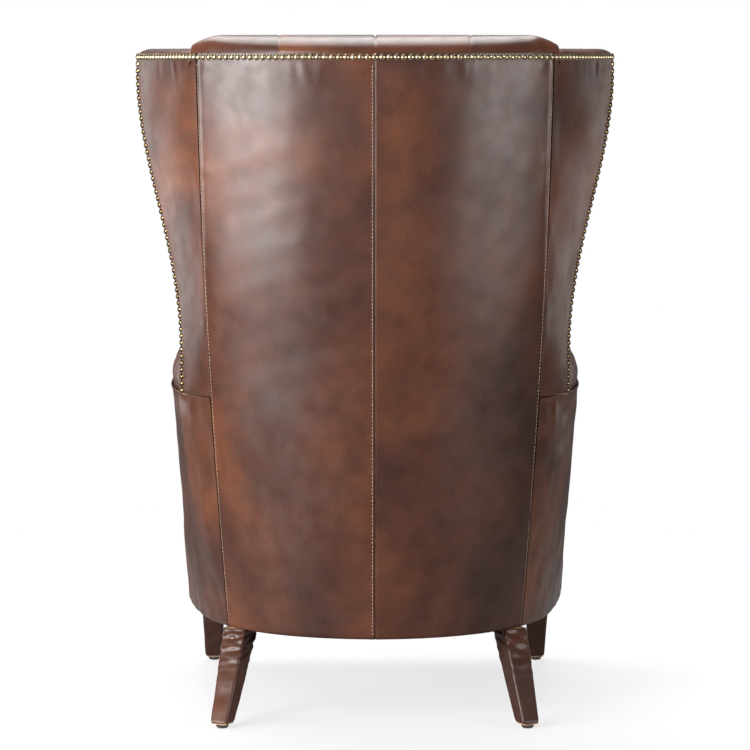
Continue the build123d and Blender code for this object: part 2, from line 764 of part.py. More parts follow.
def leg_place(rear):
    if rear:
        top = back_point(BASE_Z, REAR_LEG_SHARE, REAR_LEG_INSET)
        return top, (REAR_FOOT_X, at_depth(REAR_FOOT_DEPTH)), -LEG_TURN
    top = side_point(arm_poles(BASE_Z), FRONT_LEG_SHARE, FRONT_LEG_INSET)
    return top, (FRONT_FOOT_X, at_depth(FRONT_FOOT_DEPTH)), 0


def leg_taper(rear, less, low, high):
    """A tapered leg between two heights; "less" is taken off each face."""
    top, foot, turn = leg_place(rear)
    wires = []
    for z in (low, high):
        k = z / BASE_Z
        side = mix(LEG_FOOT, LEG_TOP, k) - 2 * less
        wires.append(square(mix(foot[0], top[0], k), mix(foot[1], top[1], k), z, side, turn))
    return Solid.make_loft(wires, True)


def leg_stub(rear, room):
    """The square stub round the bolt that carries the frame; "room" is added on each face."""
    top, foot, turn = leg_place(rear)
    side = LEG_STUB + 2 * room
    wires = [square(*bolt_place(rear), z, side, turn) for z in (BASE_Z - 1, RAIL_Z)]
    return Solid.make_loft(wires, True)


def leg(rear):
    low = GLIDE_HEIGHT + LAYER_GAP
    less = WRAP + WRAP_ROOM
    core = leg_taper(rear, less, low, BASE_Z - LAYER_GAP) + leg_stub(rear, 0)
    wrap = leg_taper(rear, 0, low, BASE_Z - LAYER_GAP) - leg_taper(rear, WRAP, low - 1, BASE_Z + 1)
    core -= upright(*bolt_place(rear), RAIL_Z - BOLT_IN_LEG - BOLT_ROOM, RAIL_Z + 1, BOLT_RADIUS + BOLT_ROOM)
    return core, wrap


def bolt_place(rear):
    """Where the upright bolt enters the frame post, above the leg's leaning centre line."""
    top, foot, turn = leg_place(rear)
    k = (RAIL_Z - BOLT_IN_LEG / 2) / BASE_Z
    return mix(foot[0], top[0], k), mix(foot[1], top[1], k)


def bolt(rear):
    return upright(*bolt_place(rear), RAIL_Z - BOLT_IN_LEG, RAIL_Z + BOLT_IN_POST, BOLT_RADIUS)


def bolt_hole(rear):
    return upright(*bolt_place(rear), RAIL_Z - 1, RAIL_Z + BOLT_IN_POST + BOLT_ROOM, BOLT_RADIUS + BOLT_ROOM)


def glide(rear):
    bulge = ((GLIDE_FLAT + GLIDE_RADIUS) / 2 + 0.8, (GLIDE_HEIGHT - GLIDE_RIM) / 2 - 0.8)
    profile = Face(Wire([
        *Line((0, 0), (GLIDE_FLAT, 0)).edges(),
        *ThreePointArc((GLIDE_FLAT, 0), bulge, (GLIDE_RADIUS, GLIDE_HEIGHT - GLIDE_RIM)).edges(),
        *Line((GLIDE_RADIUS, GLIDE_HEIGHT - GLIDE_RIM), (GLIDE_RADIUS, GLIDE_HEIGHT)).edges(),
        *Line((GLIDE_RADIUS, GLIDE_HEIGHT), (0, GLIDE_HEIGHT)).edges(),
        *Line((0, GLIDE_HEIGHT), (0, 0)).edges()]))
    solid = Rot(90, 0, 0) * revolve(profile, Axis.Y)
    top, foot, turn = leg_place(rear)
    k = GLIDE_HEIGHT / BASE_Z
    return Pos(mix(foot[0], top[0], k), mix(foot[1], top[1], k), 0) * solid


# Seat springs and deck

def spring_ends(x):
    front = at_depth(ARM_FRONT_DEPTH - FRONT_RAIL_SETBACK) + FRONT_RAIL_TIMBER - SPRING_SEAT
    rear = back_at_x(RAIL_TOP_Z, abs(x) + SPRING_HALF_WIDTH, FRAME_INSET + BACK_TIMBER)[1] + SPRING_SEAT
    return front, rear


def spring_xs():
    middle = (SPRING_COUNT - 1) / 2
    return [(k - middle) * SPRING_SPACING for k in range(SPRING_COUNT)]


def spring(x):
    """One sinuous wire, from rail to rail: cross runs joined by round bends."""
    front, rear = spring_ends(x)
    rows = round((rear - front) / SPRING_STEP)
    pitch = (rear - front) / rows
    side = SPRING_HALF_WIDTH
    points = []
    for row in range(rows + 1):
        y = front + row * pitch
        points += [(x - side, y, SPRING_Z), (x + side, y, SPRING_Z)]
        side = -side
    bend = min(SPRING_BEND, 0.48 * pitch)
    path = FilletPolyline(*points, radius=bend)
    section = Plane(path @ 0, z_dir=path % 0) * Circle(SPRING_WIRE / 2)
    return sweep(section, path=path)


def clips(x):
    """Steel clips on the rails that hold a spring's end runs."""
    outside = Box(CLIP_LENGTH, CLIP_WIDTH, SPRING_WIRE + CLIP_WALL + LAYER_GAP)
    width = SPRING_WIRE + LAYER_GAP
    solids = []
    for y in spring_ends(x):
        body = Pos(x, y, SPRING_Z + CLIP_WALL / 2 - LAYER_GAP / 2) * outside
        bore = Pos(x, y, SPRING_Z) * (Rot(0, 90, 0) * Cylinder(width / 2, 2 * CLIP_LENGTH))
        mouth = Pos(x, y, SPRING_Z - SPRING_WIRE) * Box(2 * CLIP_LENGTH, width, 2 * SPRING_WIRE)
        solids.append(body - bore - mouth)
    return solids


def deck_wire(z, room, rear_room):
    """The seat between the arms and in front of the inside back."""
    poles = arm_poles(z)
    half = inside_half(z) - room
    inner = ARM_THICKNESS + room
    first = solve(lambda s: side_point(poles, s, inner)[0], half + 0.5, 0, 1)
    rear_y = face_y(half, z) - rear_room
    right = run(poles, first, reach(poles, ARM_FRONT_DEPTH - LAYER_GAP, inner), inner)
    left = [(-x, y) for x, y in right[::-1]]
    rear = [(-half, rear_y), (half, rear_y)]
    return outline(z, rear, [rear[1], right[0]], right, [right[-1], left[0]], left, [left[-1], rear[0]])


def deck(low, high):
    return stack(lambda z: deck_wire(z, LAYER_GAP, LAYER_GAP), [low, high])


def hessian():
    """Cloth over the springs, inside the posts."""
    z = HESSIAN_Z
    inset = SIDE_INSET + POST_TIMBER + 2 * LAYER_GAP
    poles = arm_poles(z)
    right = run(poles, 0.12, 0.95, inset)
    left = [(-x, y) for x, y in right[::-1]]
    half = 0.8 * inside_half(z)
    rear = [back_at_x(z, x, BACK_FILL) for x in (-half, 0, half)]
    wire = outline(z, rear, [rear[-1], right[0]], right, [right[-1], left[0]], left, [left[-1], rear[0]])
    return extrude(Face(wire), HESSIAN, dir=(0, 0, 1))


def dust_cover(cores):
    z = BASE_Z + 1
    poles = arm_poles(z)
    rear = [back_point(z, share, DUST_CLOTH_INSET) for share in (-1, 0, 1)]
    last = reach(poles, ARM_FRONT_DEPTH - LAYER_GAP, DUST_CLOTH_INSET)
    right = run(poles, 0.04, last, DUST_CLOTH_INSET)
    left = [(-x, y) for x, y in right[::-1]]
    wire = outline(z, rear, [rear[-1], right[0]], right, [right[-1], left[0]], left, [left[-1], rear[0]])
    return extrude(Face(wire), DUST_CLOTH, dir=(0, 0, 1)) - cores


# Loose seat cushion

def cushion_back_y():
    return face_y(0, CUSHION_Z + CUSHION_HEIGHT / 2) - CUSHION_BACK_ROOM


def cushion_wire(z, inset):
    """The cushion's plan, between the arms; an inset shrinks it about its middle."""
    poles = arm_poles(CUSHION_Z)
    inner = ARM_THICKNESS + CUSHION_ROOM
    rear_y = cushion_back_y()
    front_y = -DEPTH / 2
    corner = CUSHION_CORNER
    first = reach(poles, BACK_Y - rear_y + corner, inner)
    side = run(poles, first, reach(poles, ARM_FRONT_DEPTH, inner), inner)
    x_rear = side[0][0]
    x_front = side[-1][0]
    tuck = 0.293 * corner
    rear_bend = [(x_rear - corner, rear_y), (x_rear - tuck, rear_y - tuck), side[0]]
    front_side = (x_front, front_y + corner)
    front_bend = [front_side, (x_front - tuck, front_y + tuck), (x_front - corner, front_y)]
    right = [[(0, rear_y), rear_bend[0]], rear_bend, side, [side[-1], front_side], front_bend]
    left = [[(-x, y) for x, y in piece[::-1]] for piece in right[::-1]]
    pull = (0, front_y + CUSHION_DRAW)
    front = [front_bend[-1], pull, left[0][0]]
    middle = (rear_y + front_y) / 2
    across = 1 - inset / x_front
    along = 1 - 2 * inset / (rear_y - front_y)
    pieces = []
    for piece in (*right, front, *left):
        pieces.append([(x * across, middle + (y - middle) * along) for x, y in piece])
    return outline(z, *pieces)


# Levels of the cushion: height above its foot as a share of the boxing, or of the crown above it
CUSHION_LEVELS = ((0.0, 1.0), (0.035, 0.35), (0.08, 0.0), (0.92, 0.0), (0.965, 0.35), (1.0, 1.0))
CROWN_LEVELS = ((0.35, 2.6), (0.65, 6.5), (0.87, 11.5), (1.0, 17.0))


def cushion_form(skin):
    wires = []
    for share, draw in CUSHION_LEVELS:
        z = CUSHION_Z + mix(skin, CUSHION_HEIGHT - skin, share)
        wires.append(cushion_wire(z, skin + draw * CUSHION_EDGE))
    for share, draw in CROWN_LEVELS:
        z = CUSHION_Z + CUSHION_HEIGHT - skin + share * CUSHION_CROWN
        wires.append(cushion_wire(z, skin + draw * CUSHION_EDGE))
    return Solid.make_loft(wires, True)


def zip_tape():
    y = cushion_back_y() + LAYER_GAP + ZIP_THICKNESS / 2
    return Pos(0, y, CUSHION_Z + CUSHION_HEIGHT / 2) * Box(ZIP_LENGTH, ZIP_THICKNESS, ZIP_WIDTH)


def zip_slot():
    """The opening in the cushion's boxing that the zip closes."""
    z = CUSHION_Z + CUSHION_HEIGHT / 2
    return Pos(0, cushion_back_y(), z) * Box(ZIP_LENGTH - ZIP_WIDTH, 3 * COVER, ZIP_SLOT)


def zip_slider():
    z = CUSHION_Z + CUSHION_HEIGHT / 2
    face = cushion_back_y() + LAYER_GAP + ZIP_THICKNESS + LAYER_GAP
    body = Pos(0, face + SLIDER_THICKNESS / 2, z) * Box(SLIDER_LENGTH, SLIDER_THICKNESS, SLIDER_WIDTH)
    body = fillet(body.edges().filter_by(Axis.Y), 2)
    pull = Pos(0, face + SLIDER_THICKNESS - PULL_THICKNESS / 2, z - SLIDER_WIDTH / 2 - PULL_LENGTH / 2 + 2) \
        * Box(PULL_WIDTH, PULL_THICKNESS, PULL_LENGTH)
    pull = fillet(pull.edges().filter_by(Axis.Y), 2)
    return body + pull


# Nails

def nail():
    """A domed nail, its head a cap of a ball."""
    ball = (NAIL_RADIUS ** 2 + NAIL_PROUD ** 2) / (2 * NAIL_PROUD)
    head = split(Pos(0, 0, NAIL_PROUD - ball) * Sphere(ball), Plane.XY, keep=Keep.TOP)
    return head + Pos(0, 0, -NAIL_SHANK / 2) * Box(NAIL_SHANK_SIDE, NAIL_SHANK_SIDE, NAIL_SHANK)


def spaced(path, pitch):
    """Points along a path of (point, normal) samples, evenly spaced from end to end."""
    lengths = [0.0]
    for (a, _), (b, _) in zip(path, path[1:]):
        lengths.append(lengths[-1] + (Vector(*b) - Vector(*a)).length)
    count = max(1, round(lengths[-1] / pitch))
    spots = []
    k = 0
    for n in range(count + 1):
        goal = lengths[-1] * n / count
        while k < len(lengths) - 2 and lengths[k + 1] < goal:
            k += 1
        share = (goal - lengths[k]) / (lengths[k + 1] - lengths[k])
        a, b = path[k], path[k + 1]
        spot = [mix(p, q, share) for p, q in zip(a[0], b[0])]
        way = [mix(p, q, share) for p, q in zip(a[1], b[1])]
        spots.append((spot, way))
    return spots


def side_sample(z, share):
    poles = wing_poles(z)
    x, y = side_point(poles, share, 0)
    inside = side_point(poles, share, 10)
    return (x, y, z), (x - inside[0], y - inside[1], 0)


def top_path():
    """Along the top of the back and the right wing, from the centre."""
    samples = 40
    path = []
    for k in range(samples + 1):
        x, y = back_point(NAIL_Z, k / samples, 0)
        inside = back_point(NAIL_Z, k / samples, 10)
        path.append(((x, y, NAIL_Z), (x - inside[0], y - inside[1], 0)))
    edge = 1 - wing_edge_share(NAIL_Z)
    path += [side_sample(NAIL_Z, mix(0.02, 1 - edge, k / samples)) for k in range(samples + 1)]
    return path


def wing_edge_share(z):
    poles = wing_poles(z)
    length = hypot(poles[3][0] - poles[0][0], poles[3][1] - poles[0][1])
    return 1 - NAIL_EDGE / length


def wing_path():
    """Down the right wing's front edge, from under the top row to the arm seam."""
    samples = 60
    top, low = NAIL_Z - NAIL_PITCH, SEAM_Z + NAIL_EDGE
    heights = [mix(top, low, k / samples) for k in range(samples + 1)]
    return [side_sample(z, wing_edge_share(z)) for z in heights]


def facing_path():
    """Round the right arm facing, from its outer foot over the top to the cushion."""
    samples = 24
    y = at_depth(ARM_FRONT_DEPTH + LAYER_GAP + FACING)
    way = (0, -1, 0)
    low = BASE_Z + NAIL_EDGE
    path = [((front_x(z, NAIL_EDGE), y, z), way) for z in (low, SEAM_Z, ROLL_Z)]
    radius = ARM_THICKNESS / 2 - NAIL_EDGE
    middle = (front_x(ROLL_Z, 0) + front_x(ROLL_Z, ARM_THICKNESS)) / 2
    for k in range(1, samples):
        angle = pi * k / samples
        path.append(((middle + radius * cos(angle), y, ROLL_Z + radius * sin(angle)), way))
    path += [((front_x(z, ARM_THICKNESS - NAIL_EDGE), y, z), way) for z in (ROLL_Z, SEAM_Z, low)]
    return path


def nails():
    one = nail()
    top = spaced(top_path(), NAIL_PITCH)
    right = top[1:] + spaced(wing_path(), NAIL_PITCH) + spaced(facing_path(), NAIL_PITCH)
    spots = top[:1] + right
    spots += [((-spot[0], spot[1], spot[2]), (-way[0], way[1], way[2])) for spot, way in right]
    return [Plane(tuple(spot), z_dir=tuple(way)) * one for spot, way in spots]


# Outside panels

def outside_back():
    share = 1 - SEAM_GAP / 300
    return stack(lambda z: sector(z, 0.001, share, 0, LEATHER), levels(BASE_Z, NAIL_Z + NAIL_EDGE))


def outside_wing():
    return stack(lambda z: band(z, wing_poles(min(z, NAIL_Z)), 0.004, 1, 0, LEATHER),
                 levels(SEAM_Z + LAYER_GAP, NAIL_Z + NAIL_EDGE))


def outside_arm():
    return stack(lambda z: band(z, arm_poles(z), 0.004, 1, 0, LEATHER), levels(BASE_Z, SEAM_Z - LAYER_GAP))


def build():
    nodes = {}

    def pair(name, solid):
        nodes[name + "_right"] = solid
        nodes[name + "_left"] = mirrored(solid)

    post = back_post()
    top_rail = back_rail(TOP_RAIL_Z, TOP_RAIL_HEIGHT, BACK_POST_SHARES[1])
    stile = arm_post()
    wing_stile = wing_post()
    low_shares = (0, sum(ARM_POST_SHARES) / 2)
    seat_side = largest(side_rail(RAIL_Z, SEAT_RAIL_HEIGHT, low_shares, arm_poles) - post - stile)
    arm_low = SEAM_Z - ARM_RAIL_DROP - ARM_RAIL_HEIGHT
    arm_side = largest(side_rail(arm_low, ARM_RAIL_HEIGHT, low_shares, arm_poles) - post - stile)
    front = front_rail()
    holes = dowels(DOWEL_RADIUS + DOWEL_ROOM, DOWEL_ROOM)
    both_holes = holes + [mirrored(hole) for hole in holes]
    pair("back_post", post - holes - bolt_hole(True))
    pair("arm_post", stile - holes - bolt_hole(False))
    pair("wing_post", wing_stile)
    pair("seat_side_rail", seat_side - holes)
    pair("arm_rail", arm_side - holes)
    pair("wing_rail", wing_rail())
    nodes["back_top_rail"] = top_rail - both_holes
    share = BACK_POST_SHARES[0] - 0.001
    nodes["back_lower_rail"] = back_rail(LOWER_RAIL_Z, LOWER_RAIL_HEIGHT, share)
    nodes["seat_back_rail"] = back_rail(RAIL_Z, SEAT_RAIL_HEIGHT, share)
    nodes["seat_front_rail"] = front - both_holes
    blocks = [front_block(), rear_block()]
    nodes["corner_blocks"] = blocks + [mirrored(piece) for piece in blocks]
    rods = dowels(DOWEL_RADIUS, 0)
    nodes["frame_dowels"] = rods + [mirrored(rod) for rod in rods]

    cores = []
    for name, rear in (("rear_leg", True), ("front_leg", False)):
        core, wrap = leg(rear)
        pair(name, core)
        pair(name + "_wrap", wrap)
        room = leg_stub(rear, LAYER_GAP)
        cores += [room, mirrored(room)]
    fixings = [bolt(True), bolt(False)]
    nodes["leg_bolts"] = fixings + [mirrored(piece) for piece in fixings]
    feet = [glide(True), glide(False)]
    nodes["leg_glides"] = feet + [mirrored(piece) for piece in feet]

    nodes["seat_springs"] = [spring(x) for x in spring_xs()]
    nodes["spring_clips"] = [clip for x in spring_xs() for clip in clips(x)]
    nodes["deck_hessian"] = hessian()
    nodes["deck_pad"] = deck(FILL_Z, FILL_Z + DECK_PAD)
    nodes["deck_cover"] = deck(DECK_Z - LEATHER, DECK_Z)
    nodes["back_webbing"] = back_straps()
    nodes["dust_cover"] = dust_cover(cores)

    nodes["inside_back_cover"], nodes["inside_back_pad"] = inside_back()
    nodes["back_buttons"] = buttons()
    wing_cover, wing_pad = wing_soft()
    pair("wing_cover", wing_cover)
    pair("wing_pad", wing_pad)
    arm_cover, arm_pad = arm_soft()
    pair("arm_cover", arm_cover)
    pair("arm_pad", arm_pad)
    pair("arm_facing", facing())
    nodes["front_border"] = border()
    pair("outside_back", outside_back())
    pair("outside_wing", outside_wing())
    pair("outside_arm", outside_arm())
    nodes["brass_nails"] = nails()

    nodes["cushion_cover"] = cushion_form(0) - cushion_form(COVER) - zip_slot()
    nodes["cushion_core"] = cushion_form(COVER + LAYER_GAP)
    nodes["cushion_zip"] = zip_tape()
    nodes["zip_slider"] = zip_slider()
    return nodes


def save(nodes):
    os.makedirs("parts", exist_ok=True)
    for name, piece in nodes.items():
        solids = []
        for item in piece if isinstance(piece, list) else [piece]:
            solids += item.solids()
        export_step(Compound(solids) if len(solids) > 1 else solids[0], f"parts/{name}.step")


save(build())
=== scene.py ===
import json
from math import cos, pi, radians, sin, sqrt

import bmesh
import bpy
import numpy as np
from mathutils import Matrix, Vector
from mathutils.bvhtree import BVHTree


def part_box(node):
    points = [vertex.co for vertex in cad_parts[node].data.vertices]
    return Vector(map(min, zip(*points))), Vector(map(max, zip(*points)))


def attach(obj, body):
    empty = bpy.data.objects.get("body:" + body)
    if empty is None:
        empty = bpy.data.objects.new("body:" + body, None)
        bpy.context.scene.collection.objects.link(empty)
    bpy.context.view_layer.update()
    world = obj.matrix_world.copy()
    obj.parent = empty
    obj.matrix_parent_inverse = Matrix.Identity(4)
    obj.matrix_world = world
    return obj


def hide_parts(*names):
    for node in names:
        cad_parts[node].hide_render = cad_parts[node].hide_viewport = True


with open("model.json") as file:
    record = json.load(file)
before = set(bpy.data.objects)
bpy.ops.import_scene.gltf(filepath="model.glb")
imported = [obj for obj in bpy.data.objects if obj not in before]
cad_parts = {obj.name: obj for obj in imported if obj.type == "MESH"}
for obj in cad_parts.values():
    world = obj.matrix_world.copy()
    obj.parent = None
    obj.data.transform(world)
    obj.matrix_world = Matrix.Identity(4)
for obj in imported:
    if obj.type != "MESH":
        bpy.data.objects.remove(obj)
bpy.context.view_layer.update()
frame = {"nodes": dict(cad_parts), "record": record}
nodes = frame["nodes"]

# Heights and plan of the chair, in metres, as the frame's panels have them
BASE_Z = 0.155
SEAM_Z = 0.546
ARM_TOP_Z = 0.617
NAIL_Z = 1.112
ROLL_RISE = 0.036
WING_RISE = 0.014
BACK_Y = 0.4216            # rearmost leather, at the top of the back
BACK_RAKE = 0.080
BACK_RADIUS_TOP = 0.450
BACK_RADIUS_BASE = 0.300
SIDE_SEAM_X_TOP = 0.293
SIDE_SEAM_X_BASE = 0.247
SIDE_SEAM_BULGE = 0.008
WING_X_WAIST = 0.329
WING_X_TOP = 0.404
WING_WAIST_Z = 0.625
WING_CROWN_Z = 1.085
WING_DEPTH_WAIST = 0.255
WING_DEPTH_TOP = 0.325
WING_SWELL_Z = 0.875
WING_TURN = radians(7)
WING_THICKNESS = 0.058
WING_NOSE = 0.022
ARM_X_BASE = 0.338
ARM_X_SEAM = 0.354
ARM_FRONT_DEPTH = 0.800
ARM_REAR_DEPTH = 0.262     # the arm's cover starts here, against the inside back
ARM_BREAK_DEPTH = 0.287    # and rolls up from here, before the wing
ARM_THICKNESS = 0.100
ARM_TURN_BASE = 0.130
ARM_TURN_SEAM = 0.160
ARM_REACH = 0.300
ARM_TOE = radians(90)
ARM_START_TURN = radians(1.5)
INSIDE_HALF_BASE = 0.195
INSIDE_HALF_TOP = 0.243
PAD_SEAT = 0.150
PAD_HEAD = 0.092
PAD_SEAT_Z = 0.455
PAD_HEAD_Z = 1.005
FILL_Z = 0.298             # underside of the stuffing, on the seat springs
FACE_RADIUS_SEAT = 2.6
FACE_RADIUS_TOP = 0.95
BACK_FILL = 0.041          # back leather to the stuffing, past the timber
BUTTON_SPACING = 0.155
BUTTON_ROW_STEP = 0.112
BUTTON_TOP_Z = NAIL_Z - 0.130
BUTTON_LOW_Z = BUTTON_TOP_Z - 4 * BUTTON_ROW_STEP
LEATHER = 0.002
NAIL_EDGE = 0.0065
ROLL_Z = ARM_TOP_Z - ARM_THICKNESS / 2
ROLL_HALF = 0.306          # half the width of the top roll at the back

# Legs
LEG_TOP = 0.045
LEG_FOOT = 0.030
LEG_TURN = radians(28)
GLIDE_HEIGHT = 0.0073


def mix(a, b, share):
    return a + (b - a) * share


def ease(share):
    share = np.clip(share, 0, 1)
    return share * share * (3 - 2 * share)


def rise(z):
    return (z - BASE_Z) / (NAIL_Z - BASE_Z)


# Plan curves of the outside leather

def back_circle(z):
    radius = mix(BACK_RADIUS_BASE, BACK_RADIUS_TOP, rise(z))
    return BACK_Y - BACK_RAKE * (1 - rise(z)) - radius, radius


def side_seam_x(z):
    k = np.minimum(1, rise(z))
    return mix(SIDE_SEAM_X_BASE, SIDE_SEAM_X_TOP, k) + 4 * SIDE_SEAM_BULGE * k * (1 - k)


def back_point(z, share, inset):
    """A point on the back: share 0 is the centre, 1 the right side seam."""
    centre, radius = back_circle(z)
    angle = share * np.arcsin(side_seam_x(z) / radius)
    x = (radius - inset) * np.sin(angle)
    y = centre + (radius - inset) * np.cos(angle)
    return np.stack(np.broadcast_arrays(x, y, z), -1)


def back_at_x(z, x, inset):
    centre, radius = back_circle(z)
    return centre + np.sqrt((radius - inset) ** 2 - x ** 2)


def heading(angle):
    return np.stack([np.cos(angle), -np.sin(angle)], -1)


def wing_poles(z):
    z = np.minimum(z, NAIL_Z)
    start = back_point(z, 1, 0)[..., :2]
    x = mix(WING_X_WAIST, WING_X_TOP, ease((z - WING_WAIST_Z) / (WING_CROWN_Z - WING_WAIST_Z)))
    depth = mix(WING_DEPTH_WAIST, WING_DEPTH_TOP, ease((z - SEAM_Z) / (WING_SWELL_Z - SEAM_Z)))
    end = np.stack([x, BACK_Y - depth], -1)
    chord = end - start
    third = np.linalg.norm(chord, axis=-1, keepdims=True) / 3
    lean = np.arctan2(-chord[..., 1], chord[..., 0])
    return start, start + third * heading(lean - WING_TURN), end - third * heading(lean + WING_TURN), end


def arm_poles(z):
    z = np.minimum(z, SEAM_Z)
    k = (z - BASE_Z) / (SEAM_Z - BASE_Z)
    start = back_point(z, 1, 0)[..., :2]
    radius = back_circle(z)[1]
    angle = np.arcsin(side_seam_x(z) / radius) + ARM_START_TURN
    x = mix(ARM_X_BASE, ARM_X_SEAM, k)
    end = np.stack([x, np.full_like(x, BACK_Y - ARM_FRONT_DEPTH)], -1)
    turn = mix(ARM_TURN_BASE, ARM_TURN_SEAM, k)[..., None]
    return start, start + turn * heading(angle), end - ARM_REACH * heading(np.full_like(x, ARM_TOE)), end


def side_point(poles, share, inset, z):
    """A point along a wing or arm curve, moved inwards from the leather by the inset."""
    p, q, r, s = poles
    t = np.asarray(share)[..., None]
    u = 1 - t
    spot = u ** 3 * p + 3 * u * u * t * q + 3 * u * t * t * r + t ** 3 * s
    way = u * u * (q - p) + 2 * u * t * (r - q) + t * t * (s - r)
    way = way / np.linalg.norm(way, axis=-1, keepdims=True)
    inward = np.stack([way[..., 1], -way[..., 0]], -1)
    spot = spot + np.asarray(inset)[..., None] * inward
    return np.concatenate([spot, np.broadcast_to(z, spot.shape[:-1])[..., None]], -1)


def solve(value, target, low, high):
    """The share at which a rising function reaches the target, point by point."""
    low = np.full(np.shape(target), low, float)
    high = np.full(np.shape(target), high, float)
    for _ in range(40):
        middle = (low + high) / 2
        short = value(middle) < target
        low = np.where(short, middle, low)
        high = np.where(short, high, middle)
    return (low + high) / 2


def face_y(x, z):
    """The inside back's face before it is buttoned, hollow across the chair."""
    k = ease((z - PAD_SEAT_Z) / (PAD_HEAD_Z - PAD_SEAT_Z))
    radius = 1 / mix(1 / FACE_RADIUS_SEAT, 1 / FACE_RADIUS_TOP, k)
    centre, back_radius = back_circle(z)
    rear = centre + back_radius - BACK_FILL
    return rear - mix(PAD_SEAT, PAD_HEAD, k) - radius + np.sqrt(radius ** 2 - x ** 2)


def inside_half(z):
    return mix(INSIDE_HALF_BASE, INSIDE_HALF_TOP, np.minimum(1, rise(z)))


# Small forms of leather: rolled edges, ripples and puckers

PUCKER_START = 0.004       # a pucker grows to its depth over this length


def stations(length, step, fine=True):
    """Places from 0 to 1 along a length, closer together at both ends."""
    edge = np.array([0, 0.0005, 0.0011, 0.0018, 0.0027, 0.004, 0.006]) if fine else np.array([0])
    count = max(4, round(length / step))
    middle = np.linspace(edge[-1], length - edge[-1], count)
    return np.concatenate([edge[:-1], middle, length - edge[:-1][::-1]]) / length


def rolled(distance, radius):
    """How far leather drops where it turns in at a seam."""
    near = np.clip(1 - distance / radius, 0, 1)
    return radius * (1 - np.sqrt(1 - near ** 2))


def ripple(seed, size, *axes, count=7):
    rng = np.random.default_rng(seed)
    total = 0
    for _ in range(count):
        way = rng.normal(size=len(axes))
        way *= 2 * pi / size * rng.uniform(0.6, 1.5) / np.linalg.norm(way)
        total = total + np.sin(sum(w * a for w, a in zip(way, axes)) + rng.uniform(0, 2 * pi))
    return total / sqrt(count)


def puckers(seed, along, below, spacing, depth, length):
    """Short folds that run away from an edge which is nailed or sewn."""
    rng = np.random.default_rng(seed)
    total = np.zeros_like(along + below)
    spot = along.min()
    while spot < along.max():
        spot += rng.uniform(0.5, 1.7) * spacing
        width = rng.uniform(0.18, 0.4) * spacing
        reach = rng.uniform(0.4, 1.5) * length
        lean = rng.uniform(-0.25, 0.25)
        fold = np.exp(-((along - spot - lean * below) / width) ** 2)
        fade = np.exp(-(below / reach) ** 2) * (1 - np.exp(-below / PUCKER_START))
        total += rng.uniform(-0.5, 1) * depth * fold * fade
    return total


# Mesh makers

def quads(rows, columns, wrap=False):
    index = np.arange(rows * columns).reshape(rows, columns)
    if wrap:
        index = np.concatenate([index, index[:, :1]], 1)
    corners = (index[:-1, :-1], index[:-1, 1:], index[1:, 1:], index[1:, :-1])
    return np.stack(corners, -1).reshape(-1, 4)


def mesh_of(name, points, faces):
    mesh = bpy.data.meshes.new(name)
    mesh.from_pydata(np.asarray(points).tolist(), [], [list(map(int, face)) for face in faces])
    bm = bmesh.new()
    bm.from_mesh(mesh)
    bmesh.ops.remove_doubles(bm, verts=bm.verts, dist=1e-6)
    bmesh.ops.recalc_face_normals(bm, faces=bm.faces)
    bm.to_mesh(mesh)
    bm.free()
    mesh.polygons.foreach_set("use_smooth", [True] * len(mesh.polygons))
    mesh.update()
    return mesh


def sheet_mesh(name, face, lining):
    """A closed sheet between two grids of points."""
    rows, columns = face.shape[:2]
    count = rows * columns
    index = np.arange(count).reshape(rows, columns)
    rim = np.concatenate([index[0], index[1:, -1], index[-1, -2::-1], index[-2:0:-1, 0]])
    after = np.roll(rim, -1)
    front = quads(rows, columns)
    sides = np.stack([rim, after, after + count, rim + count], -1)
    points = np.concatenate([face.reshape(-1, 3), lining.reshape(-1, 3)])
    return mesh_of(name, points, np.concatenate([front, front[:, ::-1] + count, sides]))


def loft_mesh(name, rings):
    """A closed skin over a run of closed rings, capped at both ends."""
    rows, columns = rings.shape[:2]
    faces = quads(rows, columns, True).tolist()
    faces += [list(range(columns))[::-1], list(range((rows - 1) * columns, rows * columns))]
    return mesh_of(name, rings.reshape(-1, 3), faces)


def flipped(points):
    return points * np.array([-1, 1, 1])


def both_sides(make):
    """Makes a piece for the right side and its mirror, each with its own small differences."""
    for side, sign in (("right", 1), ("left", -1)):
        make(side, sign)


def placed(points, sign):
    return points if sign > 0 else flipped(points)


def piece(name, mesh, material, replaced=(), body="chair"):
    obj = bpy.data.objects.new(name, mesh)
    bpy.context.scene.collection.objects.link(obj)
    mesh.materials.clear()
    mesh.materials.append(material)
    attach(obj, body)
    if replaced:
        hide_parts(*replaced)
    return obj


# Materials

